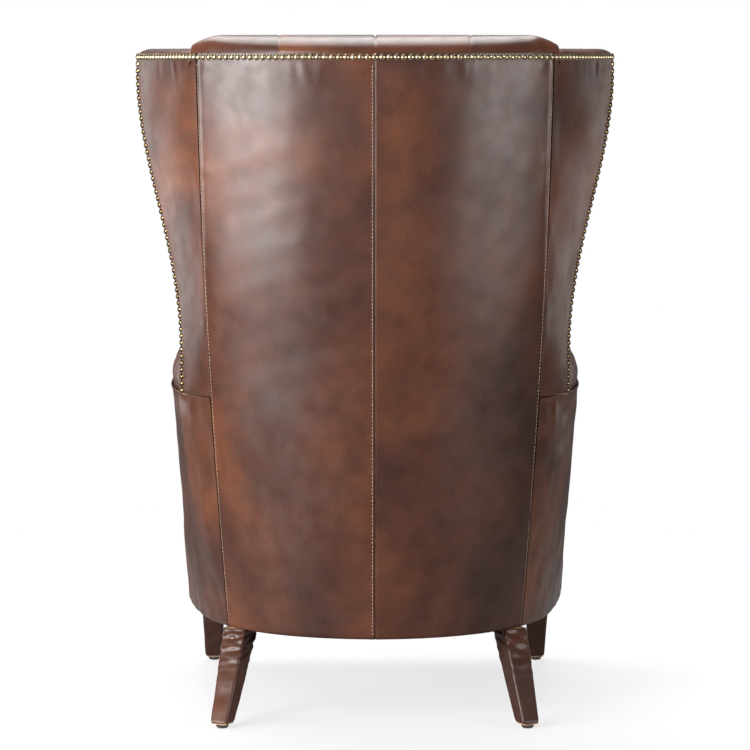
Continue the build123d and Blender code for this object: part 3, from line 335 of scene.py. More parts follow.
class Tree:
    """Short ways to add nodes to a material and join them."""

    def __init__(self, name):
        self.material = bpy.data.materials.new(name)
        self.material.use_nodes = True
        self.nodes = self.material.node_tree.nodes
        self.links = self.material.node_tree.links
        self.shader = self.nodes["Principled BSDF"]
        self.spot = self.nodes.new("ShaderNodeTexCoord").outputs["Object"]

    def add(self, kind, inputs=(), **settings):
        node = self.nodes.new("ShaderNode" + kind)
        for key, value in settings.items():
            setattr(node, key, value)
        for key, value in dict(inputs).items():
            if isinstance(value, bpy.types.NodeSocket):
                self.links.new(value, node.inputs[key])
            else:
                node.inputs[key].default_value = value
        return node

    def moved(self, offset=(0, 0, 0), scale=(1, 1, 1), turn=(0, 0, 0)):
        inputs = {"Vector": self.spot, "Location": offset, "Rotation": turn, "Scale": scale}
        return self.add("Mapping", inputs).outputs["Vector"]

    def noise(self, spot, scale, detail=4.0, roughness=0.55, distortion=0.0):
        inputs = {"Vector": spot, "Scale": scale, "Detail": detail, "Roughness": roughness,
                  "Distortion": distortion}
        return self.add("TexNoise", inputs).outputs["Fac"]

    def cells(self, spot, scale, feature="F1"):
        node = self.add("TexVoronoi", {"Vector": spot, "Scale": scale}, feature=feature)
        return node.outputs["Distance"]

    def ramp(self, value, *stops):
        node = self.add("ValToRGB", {"Fac": value})
        points = node.color_ramp.elements
        while len(points) < len(stops):
            points.new(0.5)
        for point, (place, colour) in zip(points, stops):
            point.position = place
            point.color = (*colour, 1) if len(colour) == 3 else colour
        return node.outputs["Color"]

    def span(self, value, low, high, to_low, to_high):
        inputs = {"Value": value, "From Min": low, "From Max": high, "To Min": to_low, "To Max": to_high}
        return self.add("MapRange", inputs).outputs["Result"]

    def blend(self, kind, share, a, b):
        node = self.add("MixRGB", {"Fac": share, "Color1": a, "Color2": b}, blend_type=kind)
        return node.outputs["Color"]

    def bump(self, height, strength, distance, below=None):
        inputs = {"Height": height, "Strength": strength, "Distance": distance}
        if below is not None:
            inputs["Normal"] = below
        return self.add("Bump", inputs).outputs["Normal"]

    def set(self, **inputs):
        for key, value in inputs.items():
            socket = self.shader.inputs[key.replace("_", " ")]
            if isinstance(value, bpy.types.NodeSocket):
                self.links.new(value, socket)
            else:
                socket.default_value = value
        return self.material


def leather(name, offset=(0, 0, 0), lift=1.0, panels=False):
    """Glossy antiqued hide: brown clouds, rubbed reddish patches, pores and fine scratches."""
    tree = Tree(name)
    spot = tree.moved(offset)
    if panels:
        across = tree.add("SeparateXYZ", {"Vector": tree.spot}).outputs["X"]
        strip = tree.add("Math", {0: across, 1: BUTTON_SPACING}, operation="DIVIDE").outputs["Value"]
        strip = tree.add("Math", {0: strip}, operation="FLOOR").outputs["Value"]
        aside = tree.add("CombineXYZ", {"X": strip, "Y": strip, "Z": strip}).outputs["Vector"]
        spot = tree.add("VectorMath", {0: spot, 1: aside}, operation="ADD").outputs["Vector"]
    clouds = tree.noise(spot, 3.4, 5.0, 0.56, 0.5)
    colour = tree.ramp(
        clouds, (0.28, (0.036 * lift, 0.0140 * lift, 0.0098 * lift)),
        (0.46, (0.066 * lift, 0.0235 * lift, 0.0140 * lift)),
        (0.58, (0.100 * lift, 0.0340 * lift, 0.0175 * lift)),
        (0.76, (0.165 * lift, 0.0560 * lift, 0.0240 * lift)))
    mottle = tree.noise(spot, 21.0, 7.0, 0.68)
    shade = tree.ramp(mottle, (0.3, (0.66, 0.62, 0.62)), (0.5, (1, 1, 1)), (0.72, (1.32, 1.22, 1.15)))
    colour = tree.blend("MULTIPLY", 0.8, colour, shade)
    strokes = tree.noise(tree.moved(offset, (60, 60, 5), (0.5, 0.35, 0.2)), 2.2, 4.0, 0.6)
    rub = tree.span(strokes, 0.62, 0.80, 0.0, 0.10)
    colour = tree.blend("MIX", rub, colour, (0.22, 0.10, 0.055, 1))
    pores = tree.cells(spot, 780.0)
    grain = tree.noise(spot, 260.0, 3.0, 0.6)
    creases = tree.cells(tree.moved(offset, (1, 1, 0.7)), 95.0, "DISTANCE_TO_EDGE")
    normal = tree.bump(pores, 0.08, 0.0005)
    normal = tree.bump(grain, 0.10, 0.0007, normal)
    normal = tree.bump(tree.span(creases, 0.0, 0.06, 0.0, 1.0), 0.04, 0.0007, normal)
    rough = tree.span(tree.noise(spot, 30.0, 4.0), 0.3, 0.7, 0.30, 0.44)
    return tree.set(
        Base_Color=colour, Roughness=rough, Normal=normal, Coat_Weight=0.1, Coat_Roughness=0.2, IOR=1.5,
        Specular_IOR_Level=0.35)


def brass():
    """Antiqued brass, brown in the pits, with painted shade: the nails down the wings are darker than
    those along the top of the back.
    """
    tree = Tree("brass")
    tarnish = tree.noise(tree.spot, 420.0, 4.0, 0.6)
    colour = tree.ramp(
        tarnish, (0.3, (0.15, 0.105, 0.055)), (0.5, (0.46, 0.37, 0.22)), (0.7, (0.80, 0.70, 0.48)))
    # Painted shade by height: full colour along the top row of nails, darkened to about a third below it,
    # down the wings.
    height = tree.add("SeparateXYZ", {"Vector": tree.spot}).outputs["Z"]
    painted_nail_shade = tree.span(height, NAIL_Z - 0.03, NAIL_Z - 0.008, 0.0, 1.0)
    shade = tree.ramp(painted_nail_shade, (0.0, (0.34, 0.30, 0.25)), (1.0, (1, 1, 1)))
    colour = tree.blend("MULTIPLY", 1.0, colour, shade)
    return tree.set(
        Base_Color=colour, Metallic=1.0, Roughness=tree.span(tarnish, 0.3, 0.7, 0.38, 0.20),
        Normal=tree.bump(tarnish, 0.1, 0.0004))


def thread():
    tree = Tree("thread")
    twist = tree.noise(tree.spot, 900.0, 2.0)
    colour = tree.ramp(twist, (0.35, (0.30, 0.19, 0.13)), (0.65, (0.56, 0.41, 0.31)))
    return tree.set(Base_Color=colour, Roughness=0.7, Normal=tree.bump(twist, 0.3, 0.0004))


def timber():
    """Sawn beech: pale flecked grain along the piece."""
    tree = Tree("timber")
    rings = tree.noise(tree.moved(scale=(30, 30, 3)), 2.2, 6.0, 0.6, 0.8)
    flecks = tree.cells(tree.moved(scale=(220, 220, 36)), 4.0)
    colour = tree.ramp(
        rings, (0.3, (0.34, 0.20, 0.10)), (0.55, (0.52, 0.34, 0.19)), (0.75, (0.62, 0.44, 0.27)))
    shade = tree.ramp(flecks, (0.1, (0.7, 0.62, 0.55)), (0.4, (1, 1, 1)))
    colour = tree.blend("MULTIPLY", 0.5, colour, shade)
    return tree.set(Base_Color=colour, Roughness=0.62, Normal=tree.bump(rings, 0.2, 0.001))


def steel(name, low, high, rough):
    tree = Tree(name)
    drawn = tree.noise(tree.moved(scale=(1, 1, 12)), 160.0, 3.0)
    colour = tree.ramp(drawn, (0.3, low), (0.7, high))
    return tree.set(
        Base_Color=colour, Metallic=1.0,
        Roughness=tree.span(drawn, 0.3, 0.7, rough - 0.06, rough + 0.06))


def cloth(name, low, high, scale):
    """Plain woven cloth: warp and weft as two crossing waves."""
    tree = Tree(name)
    warp = tree.add("TexWave", {"Vector": tree.spot, "Scale": scale}, bands_direction="X").outputs["Fac"]
    weft = tree.add("TexWave", {"Vector": tree.spot, "Scale": scale}, bands_direction="Y").outputs["Fac"]
    weave = tree.add("Math", {0: warp, 1: weft}, operation="MULTIPLY").outputs["Value"]
    fuzz = tree.noise(tree.spot, 180.0, 3.0)
    colour = tree.blend("MULTIPLY", 0.5, tree.ramp(weave, (0.1, low), (0.7, high)), tree.ramp(
        fuzz, (0.3, (0.7, 0.7, 0.7)), (0.7, (1, 1, 1))))
    return tree.set(Base_Color=colour, Roughness=0.9, Normal=tree.bump(weave, 0.4, 0.0006))


HIDE_BACK_RIGHT = leather("hide_back_right", (0.31, 0.0, 0.12))
HIDE_BACK_LEFT = leather("hide_back_left", (2.4, 1.1, 0.57), 0.92)
HIDE_WING = leather("hide_wing", (4.3, 0.7, 1.9), 1.0)
HIDE_ARM = leather("hide_arm", (7.7, 3.1, 0.4), 0.9)
HIDE_INSIDE = leather("hide_inside", (1.7, 5.2, 2.6), 1.0, panels=True)
HIDE_CUSHION = leather("hide_cushion", (9.2, 2.2, 3.3), 1.05)
HIDE_LEG = leather("hide_leg", (5.4, 8.3, 1.1), 0.8)
BRASS = brass()
THREAD = thread()
TIMBER = timber()
SPRING = steel("spring_steel", (0.30, 0.30, 0.31), (0.55, 0.55, 0.56), 0.34)
GLIDE = steel("glide_metal", (0.16, 0.13, 0.11), (0.36, 0.31, 0.27), 0.32)
HESSIAN = cloth("hessian", (0.20, 0.13, 0.06), (0.44, 0.33, 0.19), 260.0)
LINING = cloth("lining", (0.006, 0.006, 0.006), (0.03, 0.03, 0.03), 420.0)
TAPE = cloth("zip_tape", (0.02, 0.010, 0.007), (0.06, 0.03, 0.02), 500.0)


# Outside panels

STITCH_PITCH = 0.0064
STITCH_LENGTH = 0.0047
STITCH_RADIUS = 0.0006
STITCH_ASIDE = 0.0042      # from the seam to its row of stitches
SEAM_ROLL = 0.0026
BASE_ROLL = 0.006
SEAM_HOLD = 0.03           # leather is held flat this far from a seam
NAIL_HOLD = 0.05
NAIL_ROW = 0.012           # puckers start this far below the nailed edge
ARM_RUN = 0.66             # length of an outside arm panel


def panel(name, face, lining, sign, hide):
    """A sheet of leather that takes the place of the node of its name."""
    mesh = sheet_mesh(name, placed(face, sign), placed(lining, sign))
    piece(name + "_panel", mesh, hide, [name])


def back_drop(side, z, across, height):
    """How far the back's leather lies inside its plain form: seams, puckers and soft waves."""
    seed = 11 if side == "right" else 12
    to_side = across.max() - across
    below = height - z
    drop = rolled(across, SEAM_ROLL) + rolled(to_side, SEAM_ROLL) + rolled(z - BASE_Z, BASE_ROLL)
    drop = drop + 0.0007 * np.exp(-(to_side / 0.010) ** 2)
    drop = drop - 0.0012 * np.exp(-((to_side - 0.004) / 0.0022) ** 2)
    loose = ease(across / SEAM_HOLD) * ease(to_side / SEAM_HOLD) * ease(below / NAIL_HOLD)
    drop = drop - 0.0008 * loose * ripple(seed, 0.26, across, z)
    drop = drop - 0.00012 * loose * ripple(seed + 40, 0.07, across, z)
    drop = drop - puckers(seed + 7, across, np.maximum(0, below - NAIL_ROW), 0.028, 0.0022, 0.026)
    drop = drop - puckers(seed + 9, z, np.maximum(0, to_side - 0.003), 0.05, 0.0011, 0.018)
    return drop


def outside_back(side, sign):
    top = NAIL_Z + NAIL_EDGE
    z = mix(BASE_Z, top, stations(top - BASE_Z, 0.005))[:, None]
    radius = back_circle(z)[1]
    length = radius * np.arcsin(side_seam_x(z) / radius)
    share = mix(0.001, 0.996, stations(0.30, 0.005))[None, :]
    drop = back_drop(side, z, share * length, top)
    face = back_point(z, share, drop)
    lining = back_point(z, share, drop + LEATHER)
    panel("outside_back_" + side, face, lining, sign, HIDE_BACK_RIGHT if sign > 0 else HIDE_BACK_LEFT)


def outside_wing(side, sign):
    low, top = SEAM_Z + 0.0003, NAIL_Z + NAIL_EDGE
    z = mix(low, top, stations(top - low, 0.005))[:, None]
    share = mix(0.006, 1.0, stations(0.22, 0.0045))[None, :]
    poles = wing_poles(z)
    length = np.linalg.norm(poles[3] - poles[0], axis=-1)
    across = share * length
    to_front = length - across
    seed = 21 if sign > 0 else 22
    drop = rolled(across, SEAM_ROLL) + rolled(z - low, BASE_ROLL) + 0.0 * share
    loose = ease(across / SEAM_HOLD) * ease(to_front / SEAM_HOLD) * ease((top - z) / NAIL_HOLD)
    drop = drop - 0.0010 * loose * ripple(seed, 0.16, across, z)
    drop = drop - puckers(seed + 3, across, np.maximum(0, top - z - NAIL_ROW), 0.022, 0.0018, 0.022)
    drop = drop - puckers(seed + 5, z + 0 * share, np.maximum(0, to_front - NAIL_ROW), 0.03, 0.0016, 0.02)
    drop = drop - puckers(seed + 6, z + 0 * share, np.maximum(0, across - 0.002), 0.045, 0.0009, 0.016)
    face = side_point(poles, share + 0 * z, drop, z)
    lining = side_point(poles, share + 0 * z, drop + LEATHER, z)
    panel("outside_wing_" + side, face, lining, sign, HIDE_WING)


def outside_arm(side, sign):
    top = SEAM_Z + 0.0012
    z = mix(BASE_Z, top, stations(top - BASE_Z, 0.005))[:, None]
    share = mix(0.004, 1.0, stations(ARM_RUN, 0.006))[None, :]
    poles = arm_poles(z)
    across = share * ARM_RUN
    seed = 31 if sign > 0 else 32
    drop = rolled(across, SEAM_ROLL) + rolled(top - z, 0.0016) + rolled(z - BASE_Z, BASE_ROLL)
    drop = drop - 0.0024 * np.exp(-((top - z) / 0.007) ** 2)
    loose = ease(across / SEAM_HOLD) * ease((top - z) / 0.04) * ease((ARM_RUN - across) / 0.04)
    drop = drop - 0.0016 * loose * ripple(seed, 0.20, across, z)
    drop = drop - 0.0006 * loose * ripple(seed + 2, 0.08, across, z)
    drop = drop - puckers(seed + 3, across, np.maximum(0, top - z - 0.004), 0.05, 0.0022, 0.05)
    face = side_point(poles, share + 0 * z, drop, z)
    lining = side_point(poles, share + 0 * z, drop + LEATHER, z)
    panel("outside_arm_" + side, face, lining, sign, HIDE_ARM)


def at_run(place, run, values):
    """The row of values at a place along a run."""
    return np.array([np.interp(place, run, values[:, axis]) for axis in range(3)])


def stitch_row(name, spots, ways):
    """Sewing along a path: one rounded stitch per step, lying on the leather."""
    sides = 6
    ends = ((0.0, 0.45), (0.16, 1.0), (0.84, 1.0), (1.0, 0.45))
    steps = np.linalg.norm(np.diff(spots, axis=0), axis=1)
    run = np.concatenate([[0], np.cumsum(steps)])
    points, faces = [], []
    for k in range(int(run[-1] / STITCH_PITCH)):
        start = k * STITCH_PITCH
        both = [at_run(start + t * STITCH_LENGTH, run, spots) for t in (0, 1)]
        out = at_run(start, run, ways)
        along = both[1] - both[0]
        aside = np.cross(along, out)
        aside /= np.linalg.norm(aside)
        first = len(points)
        for t, size in ends:
            middle = mix(both[0], both[1], t) + out * STITCH_RADIUS * (0.2 if size < 1 else 0.5)
            for n in range(sides):
                angle = 2 * pi * n / sides
                points.append(middle + STITCH_RADIUS * size * (cos(angle) * out + sin(angle) * aside))
        faces += [list(q) for q in quads(len(ends), sides, True) + first]
        faces += [list(range(first, first + sides)), list(range(first + 3 * sides, first + 4 * sides))]
    piece(name, mesh_of(name, points, faces), THREAD)


def seam_stitches():
    """Rows of pale thread: one beside the centre seam, one inside each side seam."""
    z = np.linspace(BASE_Z + 0.008, NAIL_Z - 0.008, 240)
    radius = back_circle(z)[1]
    length = radius * np.arcsin(side_seam_x(z) / radius)
    beside = STITCH_ASIDE / length
    for name, share in (("centre", beside), ("right", 1 - beside), ("left", beside - 1)):
        spots = back_point(z, share, -0.0002)
        ways = spots - back_point(z, share, 0.01)
        ways /= np.linalg.norm(ways, axis=1, keepdims=True)
        stitch_row("stitching_" + name, spots, ways)


# Inside back, buttoned in diamonds, with its top roll

PILLOW_RISE = 0.016
FOLD_DEPTH = 0.011
BUTTON_DEPTH = 0.011
BUTTON_DENT = 0.026        # how far a button's pull reaches
EDGE_DEPTH = 0.010
ROLL_FOOT = 0.006          # the roll starts this far above the nails
ROLL_END = sqrt(0.15)      # height of the roll at its ends, as a share of its middle
ROLL_TUCK = 0.014          # the roll's ends are tucked in on the wing tops
PLEAT_DEPTH = 0.003
COVER_THICKNESS = 0.004
STRIP_THICKNESS = 0.0025


def buttoning(x, z):
    """Depth of the stuffing's relief: 1 on top of a pillow, 0 along its folds."""
    drop = np.clip(z, BUTTON_LOW_Z, BUTTON_TOP_Z) - BUTTON_TOP_Z
    a = x / BUTTON_SPACING + drop / (2 * BUTTON_ROW_STEP)
    b = x / BUTTON_SPACING - drop / (2 * BUTTON_ROW_STEP)
    return np.abs(np.sin(pi * a) * np.sin(pi * b))


def button_pull(x, z):
    pull = 0
    for row in range(5):
        for k in (-1, 0, 1) if row % 2 == 0 else (-0.5, 0.5):
            away = (x - k * BUTTON_SPACING) ** 2 + (z - BUTTON_TOP_Z + row * BUTTON_ROW_STEP) ** 2
            pull = pull + np.exp(-away / BUTTON_DENT ** 2)
    return pull


def inside_back():
    foot = NAIL_Z + ROLL_FOOT
    top = NAIL_Z + ROLL_RISE
    across = np.linspace(-1, 1, 231)[None, :]
    z = np.linspace(FILL_Z, foot, 270)[:, None]
    x = across * inside_half(z)
    relief = buttoning(x, z)
    edge = ease((1 - np.abs(across)) / 0.06)
    out = PILLOW_RISE * relief ** 0.42 - FOLD_DEPTH - BUTTON_DEPTH * button_pull(x, z)
    out = out * edge - EDGE_DEPTH * (1 - edge)
    face = np.stack(np.broadcast_arrays(x, face_y(x, z) - out, z), -1)
    turns = np.linspace(0, 1, 46)[1:, None]
    angle = pi * turns
    spread = ease((turns - 0.12) / 0.5)
    half = mix(inside_half(foot), ROLL_HALF, spread)
    x = across * half
    end = ease((1 - np.abs(across)) / 0.16)
    shrink = ROLL_END + (1 - ROLL_END) * np.sqrt(end)
    near = face_y(np.clip(x, -INSIDE_HALF_TOP, INSIDE_HALF_TOP), foot)
    far = back_at_x(NAIL_Z, np.clip(x, -0.30, 0.30), 0.0045)
    pleat = np.abs(np.sin(pi * x / BUTTON_SPACING))
    lift = np.sin(angle) ** 0.8
    crease = PLEAT_DEPTH * (1 - np.minimum(1, pleat / 0.07) ** 0.5)
    tuck = ROLL_TUCK * (1 - ease((1 - np.abs(across)) / 0.022)) * ease(turns / 0.2)
    height = (top - foot) * lift * shrink - crease * lift - tuck
    fall = np.where(turns > 0.5, ROLL_FOOT * (2 * turns - 1), 0)
    y = mix(near, far, (1 - np.cos(angle)) / 2) - 0.010 * (1 - turns) ** 2 * (pleat ** 0.5 - 0.4)
    roll = np.stack(np.broadcast_arrays(x, y, foot + height - fall), -1)
    sheet = np.concatenate([face, roll])
    behind = np.gradient(sheet, axis=0)
    beside = np.gradient(sheet, axis=1)
    normal = np.cross(behind, beside)
    normal /= np.linalg.norm(normal, axis=-1, keepdims=True) + 1e-12
    if normal[40, 115, 1] < 0:
        normal = -normal
    mesh = sheet_mesh("inside_back", sheet, sheet + COVER_THICKNESS * normal)
    piece("inside_back", mesh, HIDE_INSIDE, ["inside_back_cover", "inside_back_pad"])


def strip(name, face, lining, sign):
    mesh = sheet_mesh(name, placed(face, sign), placed(lining, sign))
    piece(name, mesh, HIDE_INSIDE)


def inside_border(side, sign):
    """The strip of leather down each side of the inside back, from its face to the webbing."""
    z = np.linspace(FILL_Z, NAIL_Z, 160)[:, None]
    half = inside_half(z) - 0.0008
    near = face_y(half, z) + 0.008
    far = back_at_x(z, half, BACK_FILL + 0.002)
    deep = np.linspace(0, 1, 24)[None, :]
    swell = 0.0025 * np.sin(pi * deep) * (0.6 + 0.4 * ripple(131, 0.09, z + 0 * deep))
    face = np.stack(np.broadcast_arrays(half - 0.003 + swell, mix(near, far, deep), z), -1)
    lining = face - np.array([STRIP_THICKNESS, 0, 0])
    strip("inside_border_" + side, face, lining, sign)


def arm_tuck(side, sign):
    """The tail of the arm's leather, tucked in behind the edge of the inside back."""
    z = np.linspace(FILL_Z, SEAM_Z + 0.015, 60)[:, None]
    half = inside_half(z)
    out = np.linspace(-0.003, 0.06, 30)[None, :]
    deep = face_y(half, z) + 0.034 + 0.006 * np.cos(out * 90) + 0.002 * ripple(132, 0.05, z + 0 * out)
    face = np.stack(np.broadcast_arrays(half + out, deep, z), -1)
    lining = face + np.array([0, STRIP_THICKNESS, 0])
    strip("arm_tuck_" + side, face, lining, sign)


# Wings and arms

WING_DRAW = 0.0262         # how far each side of a wing closes in over its domed top
WING_SWELL = 0.005
DOME_STEPS = 14


def wing_ring(z, draw):
    """One level of a wing: outside under the nails, round the nose, along the inside to the back."""
    poles = wing_poles(z)
    outer = LEATHER + 0.0004 + draw
    inner = WING_THICKNESS - draw
    half = inside_half(z) + 0.002
    first = 0.0
    if side_point(poles, 0.0, inner, z)[0] < half:
        first = float(solve(lambda s: side_point(poles, s, inner, z)[..., 0], np.array(half), 0, 1))
    outside = side_point(poles, np.linspace(0.03, 1, 40), outer, z)
    inside = side_point(poles, np.linspace(1, first, 60), inner, z)
    ahead = side_point(poles, 1.0, 0.0, z) - side_point(poles, 0.98, 0.0, z)
    ahead /= np.linalg.norm(ahead)
    turn = np.linspace(0, pi, 26)[1:-1, None]
    middle = (outside[-1] + inside[0]) / 2
    spoke = (outside[-1] - inside[0]) / 2
    nose = middle + np.cos(turn) * spoke + np.sin(turn) * ahead * (WING_NOSE - 0.6 * draw)
    rear = np.array([[half, back_at_x(z, half, BACK_FILL), z], back_point(z, 1.0, BACK_FILL)])
    swell = np.sin(np.linspace(0, pi, 60))[:, None] * WING_SWELL
    into = inside - side_point(poles, np.linspace(1, first, 60), inner - 0.01, z)
    inside = inside + into / 0.01 * swell
    return np.concatenate([rear, outside, nose, inside])


def wing(side, sign):
    low = SEAM_Z + 0.0008
    body = [(z, 0.0) for z in np.linspace(low, NAIL_Z, 110)]
    dome = []
    for k in range(1, DOME_STEPS + 1):
        angle = pi / 2 * k / DOME_STEPS
        dome.append((NAIL_Z + WING_RISE * sin(angle), WING_DRAW * (1 - cos(angle)) ** 0.9))
    rings = np.stack([wing_ring(z, draw) for z, draw in body + dome])
    seed = 51 if sign > 0 else 52
    rings[..., 0] += 0.0009 * ripple(seed, 0.12, rings[..., 1], rings[..., 2])
    name = "inside_wing_" + side
    replaced = ["wing_cover_" + side, "wing_pad_" + side]
    piece(name, loft_mesh(name, placed(rings, sign)), HIDE_INSIDE, replaced)


def arm_section(depth):
    """A cut across an arm: up its outside, over the roll and down its inside to the deck."""
    lift = sqrt(1 - (1 - min(1, max(0, (depth - ARM_BREAK_DEPTH) / 0.05))) ** 2)
    turn = np.linspace(0, pi, 40)
    over_inset = ARM_THICKNESS / 2 * (1 - np.cos(turn))
    inset = np.concatenate([[0.0024, 0.0012], over_inset, np.full(34, ARM_THICKNESS), [0.07, 0.04]])
    shoulder = mix(SEAM_Z, ROLL_Z, lift)
    over = shoulder + ARM_THICKNESS / 2 * lift * np.sin(turn)
    down = np.linspace(shoulder, FILL_Z + 0.001, 36)[1:-1]
    up = [SEAM_Z + 0.0006, mix(SEAM_Z, shoulder, 0.5)]
    z = np.concatenate([up, over, down, [FILL_Z + 0.001, SEAM_Z - 0.02]])
    bulge = np.zeros_like(z)
    bulge[42:76] = 0.006 * np.sin(np.linspace(0, pi, 34))
    poles = arm_poles(z)
    inset = inset + bulge
    target = np.full_like(z, depth - BACK_Y)
    share = solve(lambda s: -side_point(poles, s, inset, z)[..., 1], target, 0, 1.25)
    return side_point(poles, share, inset, z)


def arm(side, sign):
    break_over = np.linspace(ARM_REAR_DEPTH, 0.32, 22)
    depths = np.concatenate([break_over, np.linspace(0.326, ARM_FRONT_DEPTH - 0.0005, 84)])
    rings = np.stack([arm_section(depth) for depth in depths])
    seed = 61 if sign > 0 else 62
    run = np.linspace(0, 0.3, rings.shape[1])[None, :] + 0 * depths[:, None]
    to_front = ARM_FRONT_DEPTH - depths[:, None] + 0 * run
    wave = 0.0016 * ripple(seed, 0.14, run, to_front) * ease(to_front / 0.05)
    fold = puckers(seed + 2, run, to_front, 0.03, 0.002, 0.03)
    dip = 0.006 * np.exp(-((depths[:, None] - 0.335 - 0.1 * run) / 0.006) ** 2)
    dip = dip * np.exp(-((run - 0.02) / 0.05) ** 2)
    rings[..., 2] += (wave + fold - dip) * (rings[..., 2] > SEAM_Z + 0.02)
    rings[..., 0] += (wave + fold) * 0.6
    names = ["arm_cover_" + side, "arm_pad_" + side]
    piece("arm_" + side, loft_mesh("arm_" + side, placed(rings, sign)), HIDE_ARM, names)


# Facings and front border

FACING = 0.010


def front_x(z, inset):
    poles = arm_poles(z)
    target = np.full_like(z, ARM_FRONT_DEPTH - BACK_Y)
    share = solve(lambda s: -side_point(poles, s, np.full_like(z, inset), z)[..., 1], target, 0, 1.25)
    return side_point(poles, share, np.full_like(z, inset), z)[..., 0]


def facing(side, sign):
    rear = BACK_Y - ARM_FRONT_DEPTH - 0.0003
    radius = ARM_THICKNESS / 2
    arch = ROLL_Z + radius * np.sin(np.linspace(0, pi / 2, 30))[1:]
    z = np.concatenate([np.linspace(BASE_Z, ROLL_Z, 90), arch])[:, None]
    low = np.minimum(z, ROLL_Z)
    outer, inner = front_x(low[:, 0], 0.0)[:, None], front_x(low[:, 0], ARM_THICKNESS)[:, None]
    middle, half = (outer + inner) / 2, (outer - inner) / 2
    chord = np.sqrt(np.maximum(1 - (np.maximum(0, z - ROLL_Z) / radius) ** 2, 1e-6))
    across = (2 * stations(0.1, 0.004) - 1)[None, :]
    x = middle + across * half * chord
    flat = np.minimum(half - np.abs(x - middle), z - BASE_Z)
    round_edge = radius - np.hypot(x - middle, z - ROLL_Z)
    edge = np.where(z > ROLL_Z, round_edge, flat)
    swell = 0.004 * ease((edge - 0.008) / 0.03)
    y = rear - FACING - swell + rolled(np.maximum(edge, 0), 0.004) + 0.0007 * ripple(71, 0.09, x, z)
    face = np.stack(np.broadcast_arrays(x, y, z), -1)
    lining = np.stack(np.broadcast_arrays(x, rear + 0 * x, z), -1)
    panel("arm_facing_" + side, face, lining, sign, HIDE_ARM)


def front_border():
    low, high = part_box("front_border")
    z = mix(low.z, high.z, stations(high.z - low.z, 0.006))[:, None]
    half = front_x(z[:, 0], ARM_THICKNESS)[:, None] - 0.0004
    x = half * (2 * stations(0.5, 0.006) - 1)[None, :]
    edge = np.minimum(np.minimum(z - low.z, high.z - z), half - np.abs(x))
    wave = 0.0012 * ripple(81, 0.15, x, z) * ease(edge / 0.03)
    y = low.y - 0.001 + rolled(np.maximum(edge, 0), 0.003) - wave - 0.003 * ease(edge / 0.06)
    face = np.stack(np.broadcast_arrays(x, y, z), -1)
    lining = np.stack(np.broadcast_arrays(x, high.y + 0 * x, z), -1)
    panel("front_border", face, lining, 1, HIDE_INSIDE)


# Deck, webbing, dust cover

def softened(name, node, voxel, passes):
    """A node's solid as one even skin with rounded corners."""
    source = bpy.data.objects.new(name + "_source", nodes[node].data.copy())
    bpy.context.scene.collection.objects.link(source)
    remesh = source.modifiers.new("skin", "REMESH")
    remesh.mode = "VOXEL"
    remesh.voxel_size = voxel
    smooth = source.modifiers.new("soft", "SMOOTH")
    smooth.factor = 0.5
    smooth.iterations = passes
    bpy.context.view_layer.update()
    mesh = bpy.data.meshes.new_from_object(source.evaluated_get(bpy.context.evaluated_depsgraph_get()))
    bpy.data.objects.remove(source)
    mesh.name = name
    mesh.polygons.foreach_set("use_smooth", [True] * len(mesh.polygons))
    return mesh


def deck():
    piece("seat_deck", softened("seat_deck", "deck_pad", 0.007, 6), HIDE_INSIDE,
          ["deck_pad", "deck_cover", "deck_hessian"])


def webbing():
    """Bands of woven webbing across the back frame."""
    low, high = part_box("back_webbing")
    count, width = 6, 0.050
    outer, thick = 0.0393, 0.0014
    rows, columns = 8, 60
    strips, faces = [], []
    for k in range(count):
        z = np.linspace(0, width, rows)[:, None] + mix(low.z, high.z - width, k / (count - 1))
        x = np.linspace(-1, 1, columns)[None, :] * (inside_half(z) - 0.008)
        sag = 0.0006 * np.cos(pi * x / 0.45) ** 2
        for inset in (outer, outer + thick):
            y = back_at_x(z, x, inset + sag)
            strips.append(np.stack(np.broadcast_arrays(x, y, z), -1))
    points = np.concatenate([grid.reshape(-1, 3) for grid in strips])
    size = rows * columns
    index = np.arange(size).reshape(rows, columns)
    rim = np.concatenate([index[0], index[1:, -1], index[-1, -2::-1], index[-2:0:-1, 0]])
    after = np.roll(rim, -1)
    for k in range(count):
        base = 2 * k * size
        face = quads(rows, columns) + base
        faces += [face, face[:, ::-1] + size, np.stack([rim, after, after + size, rim + size], -1) + base]
    mesh = mesh_of("back_straps", points, np.concatenate(faces))
    piece("back_straps", mesh, HESSIAN, ["back_webbing"])


